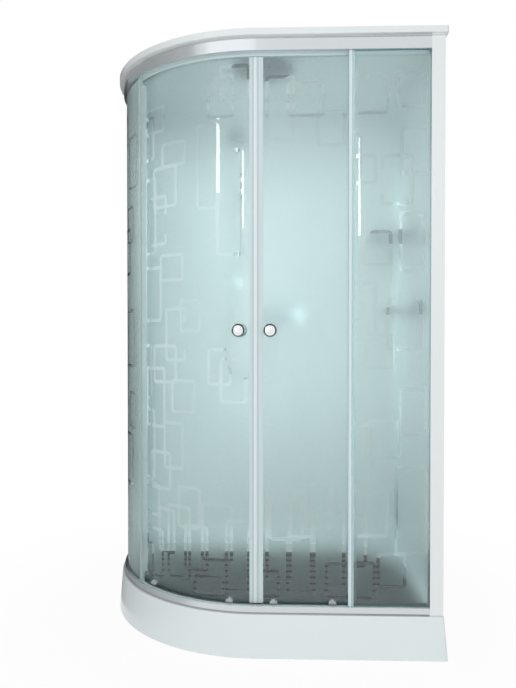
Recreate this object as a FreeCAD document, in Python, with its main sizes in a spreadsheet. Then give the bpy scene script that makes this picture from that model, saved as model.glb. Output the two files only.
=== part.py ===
import FreeCAD, Part
import math
import os
import types
import Sketcher

# Offset quadrant shower cabin, in millimetres, +Z up, front towards -Y.
# The origin is on the floor, at the centre of the tray's outline.

# Driving dimensions
SIZES = {
    # Plan of the cabin
    "cabin_width": 1200,
    "cabin_depth": 900,
    "plan_radius": 568,
    "corner_round": 8,
    # Tray
    "floor_clearance": 3,
    "tray_height": 145,
    "tray_draft": 11,
    "tray_wall": 6,
    "rim_round": 3,
    "rim_front": 76,
    "rim_right": 52,
    "rim_back": 105,
    "basin_depth": 75,
    "basin_draft": 8,
    "basin_corner": 240,
    "basin_round": 60,
    # Steel frame and feet under the basin
    "tube_size": 25,
    "frame_left": 220,
    "frame_right": 200,
    "frame_front": 220,
    "frame_back": 120,
    "foot_radius": 22,
    "foot_height": 9,
    "stud_radius": 6,
    "nut_height": 9,
    "nut_radius": 11,
    "fit_gap": 0.05,
    # Slatted floor insert
    "grate_gap": 3,
    "grate_height": 40,
    "slot_width": 22,
    "grate_border": 34,
    "bearer_width": 30,
    "bearer_height": 12,
    # Drain
    "drain_from_right": 145,
    "drain_from_front": 200,
    "drain_hole": 44,
    "flange_radius": 52,
    "flange_lip": 4,
    "flange_wall": 3,
    "flange_depth": 22,
    "cap_radius": 47,
    "cap_skirt": 10,
    "cap_dome": 7,
    "cap_wall": 2.5,
    "cap_seat": 0.3,
    "drain_cutout": 54,
    "trap_radius": 54,
    "trap_wall": 3,
    "trap_depth": 50,
    "hub_radius": 24,
    "hub_length": 11,
    "waste_radius": 20,
    "waste_bore": 17.5,
    "waste_length": 56,
    "notch_radius": 32,
    "notch_depth": 30,
    # Rails, glass and seals, as insets from the tray's outline
    "rail_outer": 20,
    "rail_inner": 72,
    "bottom_rail_height": 24,
    "glass_height": 1842,
    "top_rail_height": 41,
    "glass_thickness": 5,
    "fixed_glass_inset": 31,
    "door_glass_inset": 52,
    "glass_slot_gap": 0.5,
    "glass_bite": 14,
    "channel_outer": 45,
    "channel_inner": 69,
    "channel_floor": 8,
    "rail_web": 6,
    "lip_drop": 5,
    "lip_thickness": 4,
    "lip_edge": 60,
    "door_end_gap": 5,
    "door_top_gap": 10,
    # Doors and fixed panels along the glass line
    "door_trailing_angle": 55,
    "fixed_edge_angle": 53,
    "door_share": 0.5496,
    "door_overlap": 21,
    "seal_nose": 13.7,
    "seal_bite": 9,
    "seal_leg": 2,
    "seal_gap": 0.1,
    "meeting_gap": 0.3,
    "fin_thickness": 2.5,
    "fin_clearance": 0.6,
    "fin_end_gap": 35,
    # Top rollers
    "wheel_radius": 12,
    "wheel_width": 5.6,
    "wheel_side_gap": 0.3,
    "wheel_seat_gap": 0.3,
    "axle_radius": 3,
    "bush_radius": 5,
    "seat_gap": 0.12,
    "shoulder_radius": 7,
    "shoulder_length": 3.4,
    "hanger_cap_radius": 13,
    "hanger_cap_depth": 5,
    "axle_head_radius": 5,
    "axle_head_depth": 1.5,
    "left_wheel_front_angle": 10.2,
    "left_wheel_rear_angle": 47.2,
    "right_wheel_front": 58,
    "right_wheel_end": 81,
    # Bottom guides
    "guide_rise": 2,
    "guide_lobe": 6.8,
    "guide_lobe_offset": 6.2,
    "guide_crown": 4,
    "guide_crown_rise": 8.5,
    "guide_depth": 5,
    "guide_pin": 4,
    "guide_shoe": 9,
    "guide_shoe_depth": 8,
    # Knobs
    "knob_height": 1089,
    "knob_radius": 22,
    "knob_disc": 13,
    "knob_neck": 9,
    "knob_reach": 31,
    "knob_edge": 3,
    "knob_face": 15,
    "knob_dish": 1.5,
    "knob_bolt": 4,
    "left_knob_angle": 6.4,
    "right_knob_offset": 46.5,
    # Walls and uprights
    "wall_thickness": 6,
    "wall_inset": 14,
    "wall_joint_back": 458,
    "joint_gap": 2,
    "strip_width": 30,
    "strip_thickness": 2,
    "profile_width": 44,
    "profile_depth": 40,
    "profile_inset": 13,
    "profile_front": 18,
    "profile_slot": 10,
    "profile_hollow_wall": 4,
    "left_profile_width": 30,
    "left_profile_depth": 30,
    "post_leg": 25,
    "post_thickness": 3,
    # Roof
    "roof_inset": 4.5,
    "roof_seat_inset": 14,
    "roof_groove": 4,
    "fascia_height": 21,
    "eave_step": 4.5,
    "slope_run": 70,
    "slope_rise": 29,
    "crown_inset": 190,
    "crown_back_share": 0.572,
    "crown_corner_share": 0.18,
    "crown_run": 25,
    "crown_rise": 32,
    "roof_wall": 5,
    "roof_seat_width": 62,
    "roof_rib": 6,
    "roof_corner": 60,
    # Overhead shower
    "rain_x": -15,
    "rain_y": -105,
    "rain_radius": 122,
    "rain_drop": 70,
    "rain_rim": 8,
    "rain_cone": 12,
    "rain_plate_margin": 10,
    "rain_plate_depth": 2,
    "stem_radius": 10,
    "stem_collar": 22,
    "stem_collar_depth": 4,
    "stem_top": 12,
    "rain_nut_radius": 19,
    "rain_nut_height": 9,
    # Slide bar and hand shower
    "bar_x": -140,
    "bar_standoff": 58,
    "bar_radius": 10,
    "bar_bottom": 1280,
    "bar_length": 525,
    "bracket_offset": 25,
    "bracket_radius": 15,
    "bracket_flange": 24,
    "bracket_flange_depth": 8,
    "slider_height": 46,
    "slider_radius": 17,
    "pivot_reach": 50,
    "pivot_height": 1700,
    "fork_inner": 18,
    "fork_outer": 24,
    "fork_height": 18,
    "fork_nose": 9,
    "yoke_depth": 10,
    "yoke_gap": 2,
    "pivot_pin": 4,
    "cradle_gap": 0.5,
    "cradle_bore": 12.2,
    "cradle_low": 9,
    "cradle_high": 34,
    "ear_thickness": 3.5,
    "ear_half": 7,
    "cone_radius": 12,
    "cone_nose": 9,
    "cone_chamfer": 3,
    "cone_length": 40,
    "handset_tilt_angle": 15,
    "handle_length": 160,
    "handle_waist": 11,
    "handle_top": 14,
    "head_radius": 44,
    "head_depth": 18,
    "head_edge": 6,
    "head_tilt_angle": 70,
    "head_overlap": 8,
    "head_offset": 7,
    "spray_radius": 36,
    "spray_depth": 2,
    # Mixer
    "mixer_x": 65,
    "mixer_height": 1165,
    "mixer_standoff": 62,
    "mixer_radius": 22,
    "mixer_length": 194,
    "inlet_spacing": 150,
    "union_radius": 15,
    "union_length": 26,
    "rosette_radius": 32,
    "rosette_depth": 10,
    "inlet_thread": 10.48,
    "inlet_length": 13,
    "wall_hole": 12,
    "outlet_x": -6,
    "outlet_radius": 10,
    "outlet_drop": 30,
    "hose_nut_radius": 12,
    "hose_nut_length": 17,
    "cartridge_x": 128,
    "cartridge_radius": 24,
    "cartridge_reach": 38,
    "mixer_cap_radius": 25,
    "mixer_cap_depth": 13,
    "mixer_cap_gap": 0.4,
    "cap_stem": 9,
    "lever_width": 14,
    "lever_thickness": 7,
    "lever_length": 62,
    "lever_pin": 3,
    "lever_slot_gap": 0.5,
    "lever_back_gap": 1.8,
    "diverter_radius": 19,
    "diverter_depth": 26,
    "diverter_gap": 0.4,
    # Hose
    "hose_radius": 6.5,
    "hose_start_gap": 3,
    "hose_end_gap": 0.25,
    # Shelves
    "upper_shelf_height": 1465,
    "upper_shelf_front": 11,
    "upper_shelf_depth": 170,
    "lower_shelf_height": 1155,
    "lower_shelf_front": -157,
    "lower_shelf_depth": 135,
    "shelf_length": 280,
    "shelf_plate": 5,
    "shelf_lip": 20,
    "shelf_wall": 4,
    "shelf_round": 45,
    "shelf_flange": 45,
    "screw_radius": 4,
    "screw_head": 2.5,
    "screw_spacing": 180,
}

doc = FreeCAD.newDocument("shower_cabin")
sheet = doc.addObject("Spreadsheet::Sheet", "Dims")
for row, (alias, value) in enumerate(SIZES.items(), start=1):
    sheet.set(f"A{row}", alias)
    sheet.set(f"B{row}", str(value))
    sheet.setAlias(f"B{row}", alias)
doc.recompute()


class Size:
    """A length or angle with its number and the formula that ties it to the sheet."""

    def __init__(self, number, formula):
        self.number = float(number)
        self.formula = formula

    def join(self, other, sign, number):
        return Size(number, f"({self.formula} {sign} {other.formula})")

    def __add__(self, other):
        other = as_size(other)
        return self.join(other, "+", self.number + other.number)

    def __radd__(self, other):
        return as_size(other) + self

    def __sub__(self, other):
        other = as_size(other)
        return self.join(other, "-", self.number - other.number)

    def __rsub__(self, other):
        return as_size(other) - self

    def __mul__(self, other):
        other = as_size(other)
        return self.join(other, "*", self.number * other.number)

    def __rmul__(self, other):
        return as_size(other) * self

    def __truediv__(self, other):
        other = as_size(other)
        return self.join(other, "/", self.number / other.number)

    def __neg__(self):
        return as_size(0) - self


def as_size(value):
    if isinstance(value, Size):
        return value
    return Size(value, str(value))


def sine(angle):
    return Size(math.sin(math.radians(angle.number)), f"sin({angle.formula})")


def cosine(angle):
    return Size(math.cos(math.radians(angle.number)), f"cos({angle.formula})")


def root(area):
    return Size(math.sqrt(area.number), f"sqrt({area.formula})")


dim = types.SimpleNamespace(**{alias: Size(value, f"Dims.{alias}") for alias, value in SIZES.items()})

# Reference planes and levels
left = -dim.cabin_width / 2
right = dim.cabin_width / 2
front = -dim.cabin_depth / 2
back = dim.cabin_depth / 2
bend_x = left + dim.plan_radius
bend_y = front + dim.plan_radius
rim_level = dim.tray_height
basin_level = rim_level - dim.basin_depth
basin_under = basin_level - dim.tray_wall
waste_level = basin_under - dim.trap_depth / 2
sill_level = rim_level + dim.bottom_rail_height
head_level = sill_level + dim.glass_height
seat_level = head_level + dim.top_rail_height
fascia_level = seat_level + dim.roof_groove
eave_level = fascia_level + dim.fascia_height
slope_level = eave_level + dim.slope_rise
crown_level = slope_level + dim.crown_rise
drain_x = right - dim.drain_from_right
drain_y = front + dim.drain_from_front
wall_right = right - dim.wall_inset - dim.wall_thickness
wall_back = back - dim.wall_inset - dim.wall_thickness

nodes = {}


def new_body(name, node=True):
    body = doc.addObject("PartDesign::Body", name)
    body.Label = name
    if node:
        nodes[name] = body
    return body


def bind(item, path, value):
    """Sets one property to a size and ties it to the sheet."""
    item.setExpression(path, as_size(value).formula)


def place(item, x, y, z, axis=(0, 0, 1), angle=0):
    x, y, z, angle = [as_size(value) for value in (x, y, z, angle)]
    base = FreeCAD.Vector(x.number, y.number, z.number)
    item.Placement = FreeCAD.Placement(base, FreeCAD.Rotation(FreeCAD.Vector(*axis), angle.number))
    bind(item, "Placement.Base.x", x)
    bind(item, "Placement.Base.y", y)
    bind(item, "Placement.Base.z", z)
    if angle.number:
        bind(item, "Placement.Rotation.Angle", angle)
    return item


def arc_edge(start, end, radius, turn):
    """An arc of under a half circle; turn is 1 for counter-clockwise and -1 for clockwise."""
    chord = end - start
    middle = start + chord * 0.5
    rise = math.sqrt(max(radius * radius - chord.Length * chord.Length / 4, 0))
    side = FreeCAD.Vector(-chord.y, chord.x, 0).normalize()
    centre = middle + side * rise * turn
    first, last = (start, end) if turn > 0 else (end, start)
    low = math.atan2(first.y - centre.y, first.x - centre.x)
    high = math.atan2(last.y - centre.y, last.x - centre.x)
    if high <= low:
        high += 2 * math.pi
    circle = Part.Circle(centre, FreeCAD.Vector(0, 0, 1), radius)
    return Part.ArcOfCircle(circle, low, high)


def add_loop(sketch, corners):
    """A closed loop; a corner is (x, y), or (x, y, radius, turn) where an arc leaves it."""
    corners = [[as_size(value) for value in corner[:3]] + list(corner[3:]) for corner in corners]
    spots = [FreeCAD.Vector(corner[0].number, corner[1].number, 0) for corner in corners]
    edges = []
    ends = []
    for index, corner in enumerate(corners):
        start, end = spots[index], spots[(index + 1) % len(spots)]
        if len(corner) == 2:
            edges.append(Part.LineSegment(start, end))
            ends.append((1, 2))
        else:
            edges.append(arc_edge(start, end, corner[2].number, corner[3]))
            ends.append((1, 2) if corner[3] > 0 else (2, 1))
    made = sketch.addGeometry(edges, False)
    rules = []
    formulas = []
    for index, corner in enumerate(corners):
        following = (index + 1) % len(corners)
        rules.append(Sketcher.Constraint(
            "Coincident", made[index], ends[index][1], made[following], ends[following][0]))
        formulas.append(None)
        for kind, value in (("DistanceX", corner[0]), ("DistanceY", corner[1])):
            rules.append(Sketcher.Constraint(kind, -1, 1, made[index], ends[index][0], value.number))
            formulas.append(value.formula)
        if len(corner) > 2:
            rules.append(Sketcher.Constraint("Radius", made[index], corner[2].number))
            formulas.append(corner[2].formula)
    tie_rules(sketch, rules, formulas)


def add_circle(sketch, x, y, radius):
    x, y, radius = [as_size(value) for value in (x, y, radius)]
    centre = FreeCAD.Vector(x.number, y.number, 0)
    made = sketch.addGeometry(Part.Circle(centre, FreeCAD.Vector(0, 0, 1), radius.number), False)
    rules = [
        Sketcher.Constraint("DistanceX", -1, 1, made, 3, x.number),
        Sketcher.Constraint("DistanceY", -1, 1, made, 3, y.number),
        Sketcher.Constraint("Radius", made, radius.number),
    ]
    tie_rules(sketch, rules, [x.formula, y.formula, radius.formula])


def tie_rules(sketch, rules, formulas):
    first = sketch.ConstraintCount
    sketch.addConstraint(rules)
    for index, formula in enumerate(formulas, start=first):
        if formula:
            sketch.setExpression(f"Constraints[{index}]", formula)


def draw(body, name, plane, level, loops=(), circles=()):
    """A sketch on one of the body's own planes, at a level above it."""
    sketch = body.newObject("Sketcher::SketchObject", f"{body.Name}_{name}")
    support = next(item for item in body.Origin.OriginFeatures if item.Role == plane)
    sketch.AttachmentSupport = [(support, "")]
    sketch.MapMode = "FlatFace"
    level = as_size(level)
    sketch.AttachmentOffset = FreeCAD.Placement(FreeCAD.Vector(0, 0, level.number), FreeCAD.Rotation())
    bind(sketch, "AttachmentOffset.Base.z", level)
    for loop in loops:
        add_loop(sketch, loop)
    for circle in circles:
        add_circle(sketch, *circle)
    return sketch


def add_feature(body, kind, sketch):
    feature = body.newObject(f"PartDesign::{kind}", f"{sketch.Name}_{kind.lower()}")
    feature.Profile = sketch
    body.Tip = feature
    return feature


def pad(body, sketch, length, downward=False):
    feature = add_feature(body, "Pad", sketch)
    bind(feature, "Length", length)
    feature.Reversed = downward
    return feature


def pocket(body, sketch, depth, upward=False):
    feature = add_feature(body, "Pocket", sketch)
    bind(feature, "Length", depth)
    feature.Reversed = upward
    return feature


def loft(body, kind, lower, upper):
    feature = add_feature(body, kind, lower)
    feature.Sections = [upper]
    feature.Ruled = True
    return feature


def revolve(body, sketch, axis="V_Axis"):
    feature = add_feature(body, "Revolution", sketch)
    feature.ReferenceAxis = (sketch, [axis])
    feature.Angle = 360
    return feature


def rectangle(x_low, x_high, y_low, y_high):
    return [(x_low, y_low), (x_high, y_low), (x_high, y_high), (x_low, y_high)]


def hexagon(x, y, radius):
    corners = []
    for step in range(6):
        turn = Size(60 * step, str(60 * step))
        corners.append((x + radius * cosine(turn), y + radius * sine(turn)))
    return corners


def cylinder(name, radius, height, x, y, z, along="z"):
    """A round bar from a point along +X, +Y or +Z."""
    item = doc.addObject("Part::Cylinder", name)
    bind(item, "Radius", radius)
    bind(item, "Height", height)
    axis, angle = {"x": ((0, 1, 0), 90), "y": ((-1, 0, 0), 90), "z": ((0, 0, 1), 0)}[along]
    return place(item, x, y, z, axis, angle)


def join(name, items, node=True):
    fused = doc.addObject("Part::MultiFuse", name)
    fused.Shapes = items
    if node:
        nodes[name] = fused
    return fused


def cut(name, base, tool, node=True):
    result = doc.addObject("Part::Cut", name)
    result.Base = base
    result.Tool = tool
    if node:
        nodes[name] = result
    return result


def group(name, items):
    """Like pieces that share one node as separate solids."""
    compound = doc.addObject("Part::Compound", name)
    compound.Links = items
    nodes[name] = compound
    return compound


def outline(inset, right_inset=None, back_inset=None, corner=dim.corner_round, rear_corner=None):
    """The cabin's plan, drawn in by an inset, with the large bend at the front left."""
    right_inset = inset if right_inset is None else right_inset
    back_inset = inset if back_inset is None else back_inset
    rear_corner = corner if rear_corner is None else rear_corner
    x_low, x_high = left + inset, right - right_inset
    y_low, y_high = front + inset, back - back_inset
    return [
        (bend_x, y_low),
        (x_high - corner, y_low, corner, 1),
        (x_high, y_low + corner),
        (x_high, y_high - rear_corner, rear_corner, 1),
        (x_high - rear_corner, y_high),
        (x_low + corner, y_high, corner, 1),
        (x_low, y_high - corner),
        (x_low, bend_y, dim.plan_radius - inset, 1),
    ]


def band(outer, inner, right_end, rear_end):
    """A strip between two insets along the front, round the bend and up the left side."""
    return [
        (right_end, front + outer),
        (bend_x, front + outer, dim.plan_radius - outer, -1),
        (left + outer, bend_y),
        (left + outer, rear_end),
        (left + inner, rear_end),
        (left + inner, bend_y, dim.plan_radius - inner, 1),
        (bend_x, front + inner),
        (right_end, front + inner),
    ]


def on_bend(inset, angle):
    """A point on the bend, by its inset and its angle from the front towards the left."""
    radius = dim.plan_radius - inset
    return bend_x - radius * sine(angle), bend_y - radius * cosine(angle)


def bend_band(outer, inner, low_angle, high_angle):
    return [
        (*on_bend(outer, low_angle), dim.plan_radius - outer, -1),
        on_bend(outer, high_angle),
        (*on_bend(inner, high_angle), dim.plan_radius - inner, 1),
        on_bend(inner, low_angle),
    ]


# Tray: moulded shell with a drafted apron, a flat rim and a basin
tray = new_body("tray")
apron_low = draw(tray, "apron_low", "XY_Plane", dim.floor_clearance, [outline(0)])
apron_high = draw(tray, "apron_high", "XY_Plane", rim_level, [outline(dim.tray_draft)])
loft(tray, "AdditiveLoft", apron_low, apron_high)
hollow_low = draw(tray, "hollow_low", "XY_Plane", dim.floor_clearance, [outline(dim.tray_wall)])
hollow_high = draw(
    tray, "hollow_high", "XY_Plane", rim_level - dim.tray_wall, [outline(dim.tray_draft + dim.tray_wall)])
loft(tray, "SubtractiveLoft", hollow_low, hollow_high)


def basin_outline(grow):
    """The basin's plan; grow is how far it stands in from the rim's edge."""
    return outline(
        dim.rim_front + grow, dim.rim_right + grow, dim.rim_back + grow,
        dim.basin_round - grow, dim.basin_corner - grow)


block = draw(tray, "basin_block", "XY_Plane", basin_under, [basin_outline(-dim.tray_wall)])
pad(tray, block, rim_level - basin_under)
basin_low = draw(tray, "basin_low", "XY_Plane", basin_level, [basin_outline(dim.basin_draft)])
basin_high = draw(tray, "basin_high", "XY_Plane", rim_level, [basin_outline(as_size(0))])
loft(tray, "SubtractiveLoft", basin_low, basin_high)
drain_hole = draw(
    tray, "drain_hole", "XY_Plane", basin_level, circles=[(drain_x, drain_y, dim.drain_hole)])
pocket(tray, drain_hole, dim.tray_wall)
notch_low = drain_y - dim.notch_radius
notch_high = drain_y + dim.notch_radius
waste_notch = draw(tray, "waste_notch", "YZ_Plane", right, [[
    (notch_low, 0),
    (notch_high, 0),
    (notch_high, waste_level, dim.notch_radius, 1),
    (drain_y, waste_level + dim.notch_radius, dim.notch_radius, 1),
    (notch_low, waste_level),
]])
pocket(tray, waste_notch, dim.notch_depth)
doc.recompute()


def edges_at(shape, level):
    """Names of the edges that lie flat at a level."""
    return [
        f"Edge{index}" for index, edge in enumerate(shape.Edges, start=1)
        if all(abs(vertex.Z - level) < 1e-6 for vertex in edge.Vertexes)
    ]


rim_edges = edges_at(tray.Shape, rim_level.number)
rim_fillet = tray.newObject("PartDesign::Fillet", "tray_rim_round")
rim_fillet.Base = (tray.getObject("tray_waste_notch_pocket"), rim_edges)
bind(rim_fillet, "Radius", dim.rim_round)
tray.Tip = rim_fillet

# Steel frame: a ladder of square tubes welded under the basin
tray_frame = new_body("tray_frame")
frame_top = basin_under
frame_low_x = left + dim.frame_left
frame_high_x = right - dim.frame_right
frame_low_y = front + dim.frame_front
frame_high_y = back - dim.frame_back
frame_middle = (frame_low_x + frame_high_x) / 2
half_tube = dim.tube_size / 2
foot_spots = [
    (x, y)
    for x in (frame_low_x + half_tube, frame_high_x - half_tube)
    for y in (frame_low_y + half_tube, frame_high_y - half_tube)
]
window_low_y = frame_low_y + dim.tube_size
window_high_y = frame_high_y - dim.tube_size
frame_sketch = draw(
    tray_frame, "plan", "XY_Plane", frame_top - dim.tube_size,
    [
        rectangle(frame_low_x, frame_high_x, frame_low_y, frame_high_y),
        rectangle(frame_low_x + dim.tube_size, frame_middle - half_tube, window_low_y, window_high_y),
        rectangle(frame_middle + half_tube, frame_high_x - dim.tube_size, window_low_y, window_high_y),
    ],
    [(x, y, dim.stud_radius + dim.fit_gap) for x, y in foot_spots])
pad(tray_frame, frame_sketch, dim.tube_size)

# Levelling feet: a round pad on a threaded stud that screws through the frame, and its lock nut
levelling_feet = new_body("levelling_feet")
levelling_feet.AllowCompound = True
feet_pads = draw(
    levelling_feet, "pads", "XY_Plane", 0, circles=[(x, y, dim.foot_radius) for x, y in foot_spots])
pad(levelling_feet, feet_pads, dim.foot_height)
feet_studs = draw(
    levelling_feet, "studs", "XY_Plane", dim.foot_height,
    circles=[(x, y, dim.stud_radius) for x, y in foot_spots])
pad(levelling_feet, feet_studs, frame_top - dim.foot_height - dim.tray_wall)
foot_nuts = new_body("foot_nuts")
foot_nuts.AllowCompound = True
nut_sketch = draw(
    foot_nuts, "plan", "XY_Plane", frame_top - dim.tube_size - dim.nut_height,
    [hexagon(x, y, dim.nut_radius) for x, y in foot_spots],
    [(x, y, dim.stud_radius + dim.fit_gap) for x, y in foot_spots])
pad(foot_nuts, nut_sketch, dim.nut_height)

# Floor grate: dark slats across the basin on three bearers, with a round cut-out over the drain
SLOT_COUNT = 10
BEARER_SHARES = (0.25, 0.57, 0.83)
floor_grate = new_body("floor_grate")
grate_in = dim.basin_draft + dim.grate_gap
grate_plan = draw(floor_grate, "plan", "XY_Plane", basin_level, [basin_outline(grate_in)])
pad(floor_grate, grate_plan, dim.grate_height)
grate_left = left + dim.rim_front + grate_in
grate_right = right - dim.rim_right - grate_in
grate_front = front + dim.rim_front + grate_in
grate_back = back - dim.rim_back - grate_in
grate_bend = dim.plan_radius - dim.rim_front - grate_in
grate_corner = dim.basin_corner - grate_in
grate_middle = (grate_front + grate_back) / 2
slot_run = grate_back - grate_front - dim.grate_border * 2 - dim.slot_width
slat_spacing = slot_run / (SLOT_COUNT - 1)
slots = []
for index in range(SLOT_COUNT):
    slot_y = grate_middle + slat_spacing * (index - (SLOT_COUNT - 1) / 2)
    slot_front = slot_y - dim.slot_width / 2
    slot_back = slot_y + dim.slot_width / 2
    slot_left = grate_left + dim.grate_border
    if slot_front.number < bend_y.number:
        reach = bend_y - slot_front
        slot_left = bend_x - root(grate_bend * grate_bend - reach * reach) + dim.grate_border
    slot_right = grate_right - dim.grate_border
    corner_start = grate_back - grate_corner
    if slot_back.number > corner_start.number:
        reach = slot_back - corner_start
        slot_right = grate_right - grate_corner + root(grate_corner * grate_corner - reach * reach)
        slot_right = slot_right - dim.grate_border
    drain_room = dim.drain_cutout + dim.slot_width
    if abs(slot_y.number - drain_y.number) < drain_room.number:
        slot_right = drain_x - dim.drain_cutout - dim.grate_border / 2
    slots.append(rectangle(slot_left, slot_right, slot_front, slot_back))
grate_slots = draw(floor_grate, "slots", "XY_Plane", basin_level + dim.grate_height, slots)
pocket(floor_grate, grate_slots, dim.grate_height)
bearer_reach = slots[-1][2][1] - grate_middle
bearer_spots = [grate_left + (grate_right - grate_left) * share for share in BEARER_SHARES]
bearers = draw(
    floor_grate, "bearers", "XY_Plane", basin_level,
    [
        rectangle(x - dim.bearer_width / 2, x + dim.bearer_width / 2,
                  grate_middle - bearer_reach + dim.slot_width, grate_middle + bearer_reach)
        for x in bearer_spots
    ])
pad(floor_grate, bearers, dim.bearer_height)
grate_cutout = draw(
    floor_grate, "cutout", "XY_Plane", basin_level + dim.grate_height,
    circles=[(drain_x, drain_y, dim.drain_cutout)])
pocket(floor_grate, grate_cutout, dim.grate_height)

# Drain: chrome flange in the basin's hole, a lift-off domed cap and the trap below,
# whose outlet points at a notch in the apron
flange_tube = dim.drain_hole - dim.fit_gap
drain_flange = new_body("drain_flange")
flange_sketch = draw(drain_flange, "section", "XZ_Plane", 0, [[
    (flange_tube - dim.flange_wall, -dim.flange_depth),
    (flange_tube, -dim.flange_depth),
    (flange_tube, 0),
    (dim.flange_radius, 0),
    (dim.flange_radius, dim.flange_lip),
    (flange_tube - dim.flange_wall, dim.flange_lip),
]])
revolve(drain_flange, flange_sketch)
place(drain_flange, drain_x, drain_y, basin_level)

cap_base = dim.flange_lip + dim.cap_seat
drain_cap = new_body("drain_cap")
cap_sketch = draw(drain_cap, "section", "XZ_Plane", 0, [[
    (dim.cap_radius - dim.cap_wall, cap_base),
    (dim.cap_radius, cap_base),
    (dim.cap_radius, cap_base + dim.cap_skirt),
    (dim.cap_radius * 0.7, cap_base + dim.cap_skirt + dim.cap_dome * 0.75),
    (0, cap_base + dim.cap_skirt + dim.cap_dome),
    (0, cap_base + dim.cap_skirt + dim.cap_dome - dim.cap_wall),
    (dim.cap_radius - dim.cap_wall, cap_base + dim.cap_skirt - dim.cap_wall),
]])
revolve(drain_cap, cap_sketch)
place(drain_cap, drain_x, drain_y, basin_level)

trap_shell = cylinder(
    "trap_shell", dim.trap_radius, dim.trap_depth, drain_x, drain_y, basin_under - dim.trap_depth)
hub_reach = dim.trap_radius + dim.hub_length
trap_hub = cylinder("trap_hub", dim.hub_radius, hub_reach, drain_x, drain_y, waste_level, "x")
waste_pipe = cylinder(
    "waste_pipe", dim.waste_radius, hub_reach + dim.waste_length, drain_x, drain_y, waste_level, "x")
trap_cavity = cylinder(
    "trap_cavity", dim.trap_radius - dim.trap_wall, dim.trap_depth - dim.trap_wall,
    drain_x, drain_y, basin_under - dim.trap_depth + dim.trap_wall)
waste_bore = cylinder(
    "waste_bore", dim.waste_bore, hub_reach + dim.waste_length, drain_x, drain_y, waste_level, "x")
trap_outside = join("trap_outside", [trap_shell, trap_hub, waste_pipe], node=False)
cut("drain_trap", trap_outside, join("trap_inside", [trap_cavity, waste_bore], node=False))

# Wall panels: flat boards that stand on the rim at the back and on the right
wall_height = seat_level - rim_level
inlet_spots = [dim.mixer_x - dim.inlet_spacing / 2, dim.mixer_x + dim.inlet_spacing / 2]
back_wall = new_body("back_wall")
back_sketch = draw(
    back_wall, "face", "XZ_Plane", -wall_back,
    [rectangle(left + dim.wall_inset, right - dim.wall_inset, rim_level, seat_level)],
    [(x, dim.mixer_height, dim.wall_hole) for x in inlet_spots])
pad(back_wall, back_sketch, dim.wall_thickness, downward=True)

joint_y = back - dim.wall_inset - dim.wall_joint_back
profile_right = right - dim.profile_inset
profile_left = profile_right - dim.profile_width
fixed_edge_x = bend_x + (profile_left - bend_x) * dim.door_share
door_trailing_x = fixed_edge_x + dim.door_overlap
profile_front = front + dim.profile_front
profile_back = profile_front + dim.profile_depth
for name, y_low, y_high in (
        ("right_wall_front", profile_back - dim.profile_slot, joint_y - dim.joint_gap / 2),
        ("right_wall_rear", joint_y + dim.joint_gap / 2, wall_back)):
    panel = new_body(name)
    panel_sketch = draw(
        panel, "plan", "XY_Plane", rim_level,
        [rectangle(wall_right, wall_right + dim.wall_thickness, y_low, y_high)])
    pad(panel, panel_sketch, wall_height)

# Uprights: joint strip, corner post and the two profiles that hold the fixed glass
strip_back = wall_right + dim.wall_thickness
wall_joint_strip = new_body("wall_joint_strip")
strip_sketch = draw(wall_joint_strip, "plan", "XY_Plane", rim_level, [[
    (wall_right, joint_y - dim.joint_gap / 2),
    (strip_back, joint_y - dim.joint_gap / 2),
    (strip_back, joint_y - dim.strip_width / 2),
    (strip_back + dim.strip_thickness, joint_y - dim.strip_width / 2),
    (strip_back + dim.strip_thickness, joint_y + dim.strip_width / 2),
    (strip_back, joint_y + dim.strip_width / 2),
    (strip_back, joint_y + dim.joint_gap / 2),
    (wall_right, joint_y + dim.joint_gap / 2),
]])
pad(wall_joint_strip, strip_sketch, wall_height)

corner_post = new_body("corner_post")
post_sketch = draw(corner_post, "plan", "XY_Plane", rim_level, [[
    (wall_right, wall_back),
    (wall_right - dim.post_leg, wall_back),
    (wall_right - dim.post_leg, wall_back - dim.post_thickness),
    (wall_right - dim.post_thickness, wall_back - dim.post_thickness),
    (wall_right - dim.post_thickness, wall_back - dim.post_leg),
    (wall_right, wall_back - dim.post_leg),
]])
pad(corner_post, post_sketch, wall_height)

fixed_outer = dim.fixed_glass_inset
fixed_inner = dim.fixed_glass_inset + dim.glass_thickness
right_wall_profile = new_body("right_wall_profile")
profile_sketch = draw(right_wall_profile, "plan", "XY_Plane", rim_level, [
    [
        (profile_left, profile_front),
        (profile_right, profile_front),
        (profile_right, profile_back),
        (strip_back, profile_back),
        (strip_back, profile_back - dim.profile_slot),
        (wall_right, profile_back - dim.profile_slot),
        (wall_right, profile_back),
        (profile_left, profile_back),
        (profile_left, front + fixed_inner),
        (profile_left + dim.profile_slot, front + fixed_inner),
        (profile_left + dim.profile_slot, front + fixed_outer),
        (profile_left, front + fixed_outer),
    ],
    rectangle(
        profile_left + dim.profile_slot + dim.profile_hollow_wall,
        wall_right - dim.profile_hollow_wall,
        profile_front + dim.profile_hollow_wall,
        profile_back - dim.profile_hollow_wall),
])
pad(right_wall_profile, profile_sketch, wall_height)

left_profile_front = wall_back - dim.left_profile_depth
left_wall_profile = new_body("left_wall_profile")
left_profile_sketch = draw(left_wall_profile, "plan", "XY_Plane", rim_level, [[
    (left + dim.rail_outer, left_profile_front),
    (left + fixed_outer, left_profile_front),
    (left + fixed_outer, left_profile_front + dim.profile_slot),
    (left + fixed_inner, left_profile_front + dim.profile_slot),
    (left + fixed_inner, left_profile_front),
    (left + dim.rail_outer + dim.left_profile_width, left_profile_front),
    (left + dim.rail_outer + dim.left_profile_width, wall_back),
    (left + dim.rail_outer, wall_back),
]])
pad(left_wall_profile, left_profile_sketch, wall_height)

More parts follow.
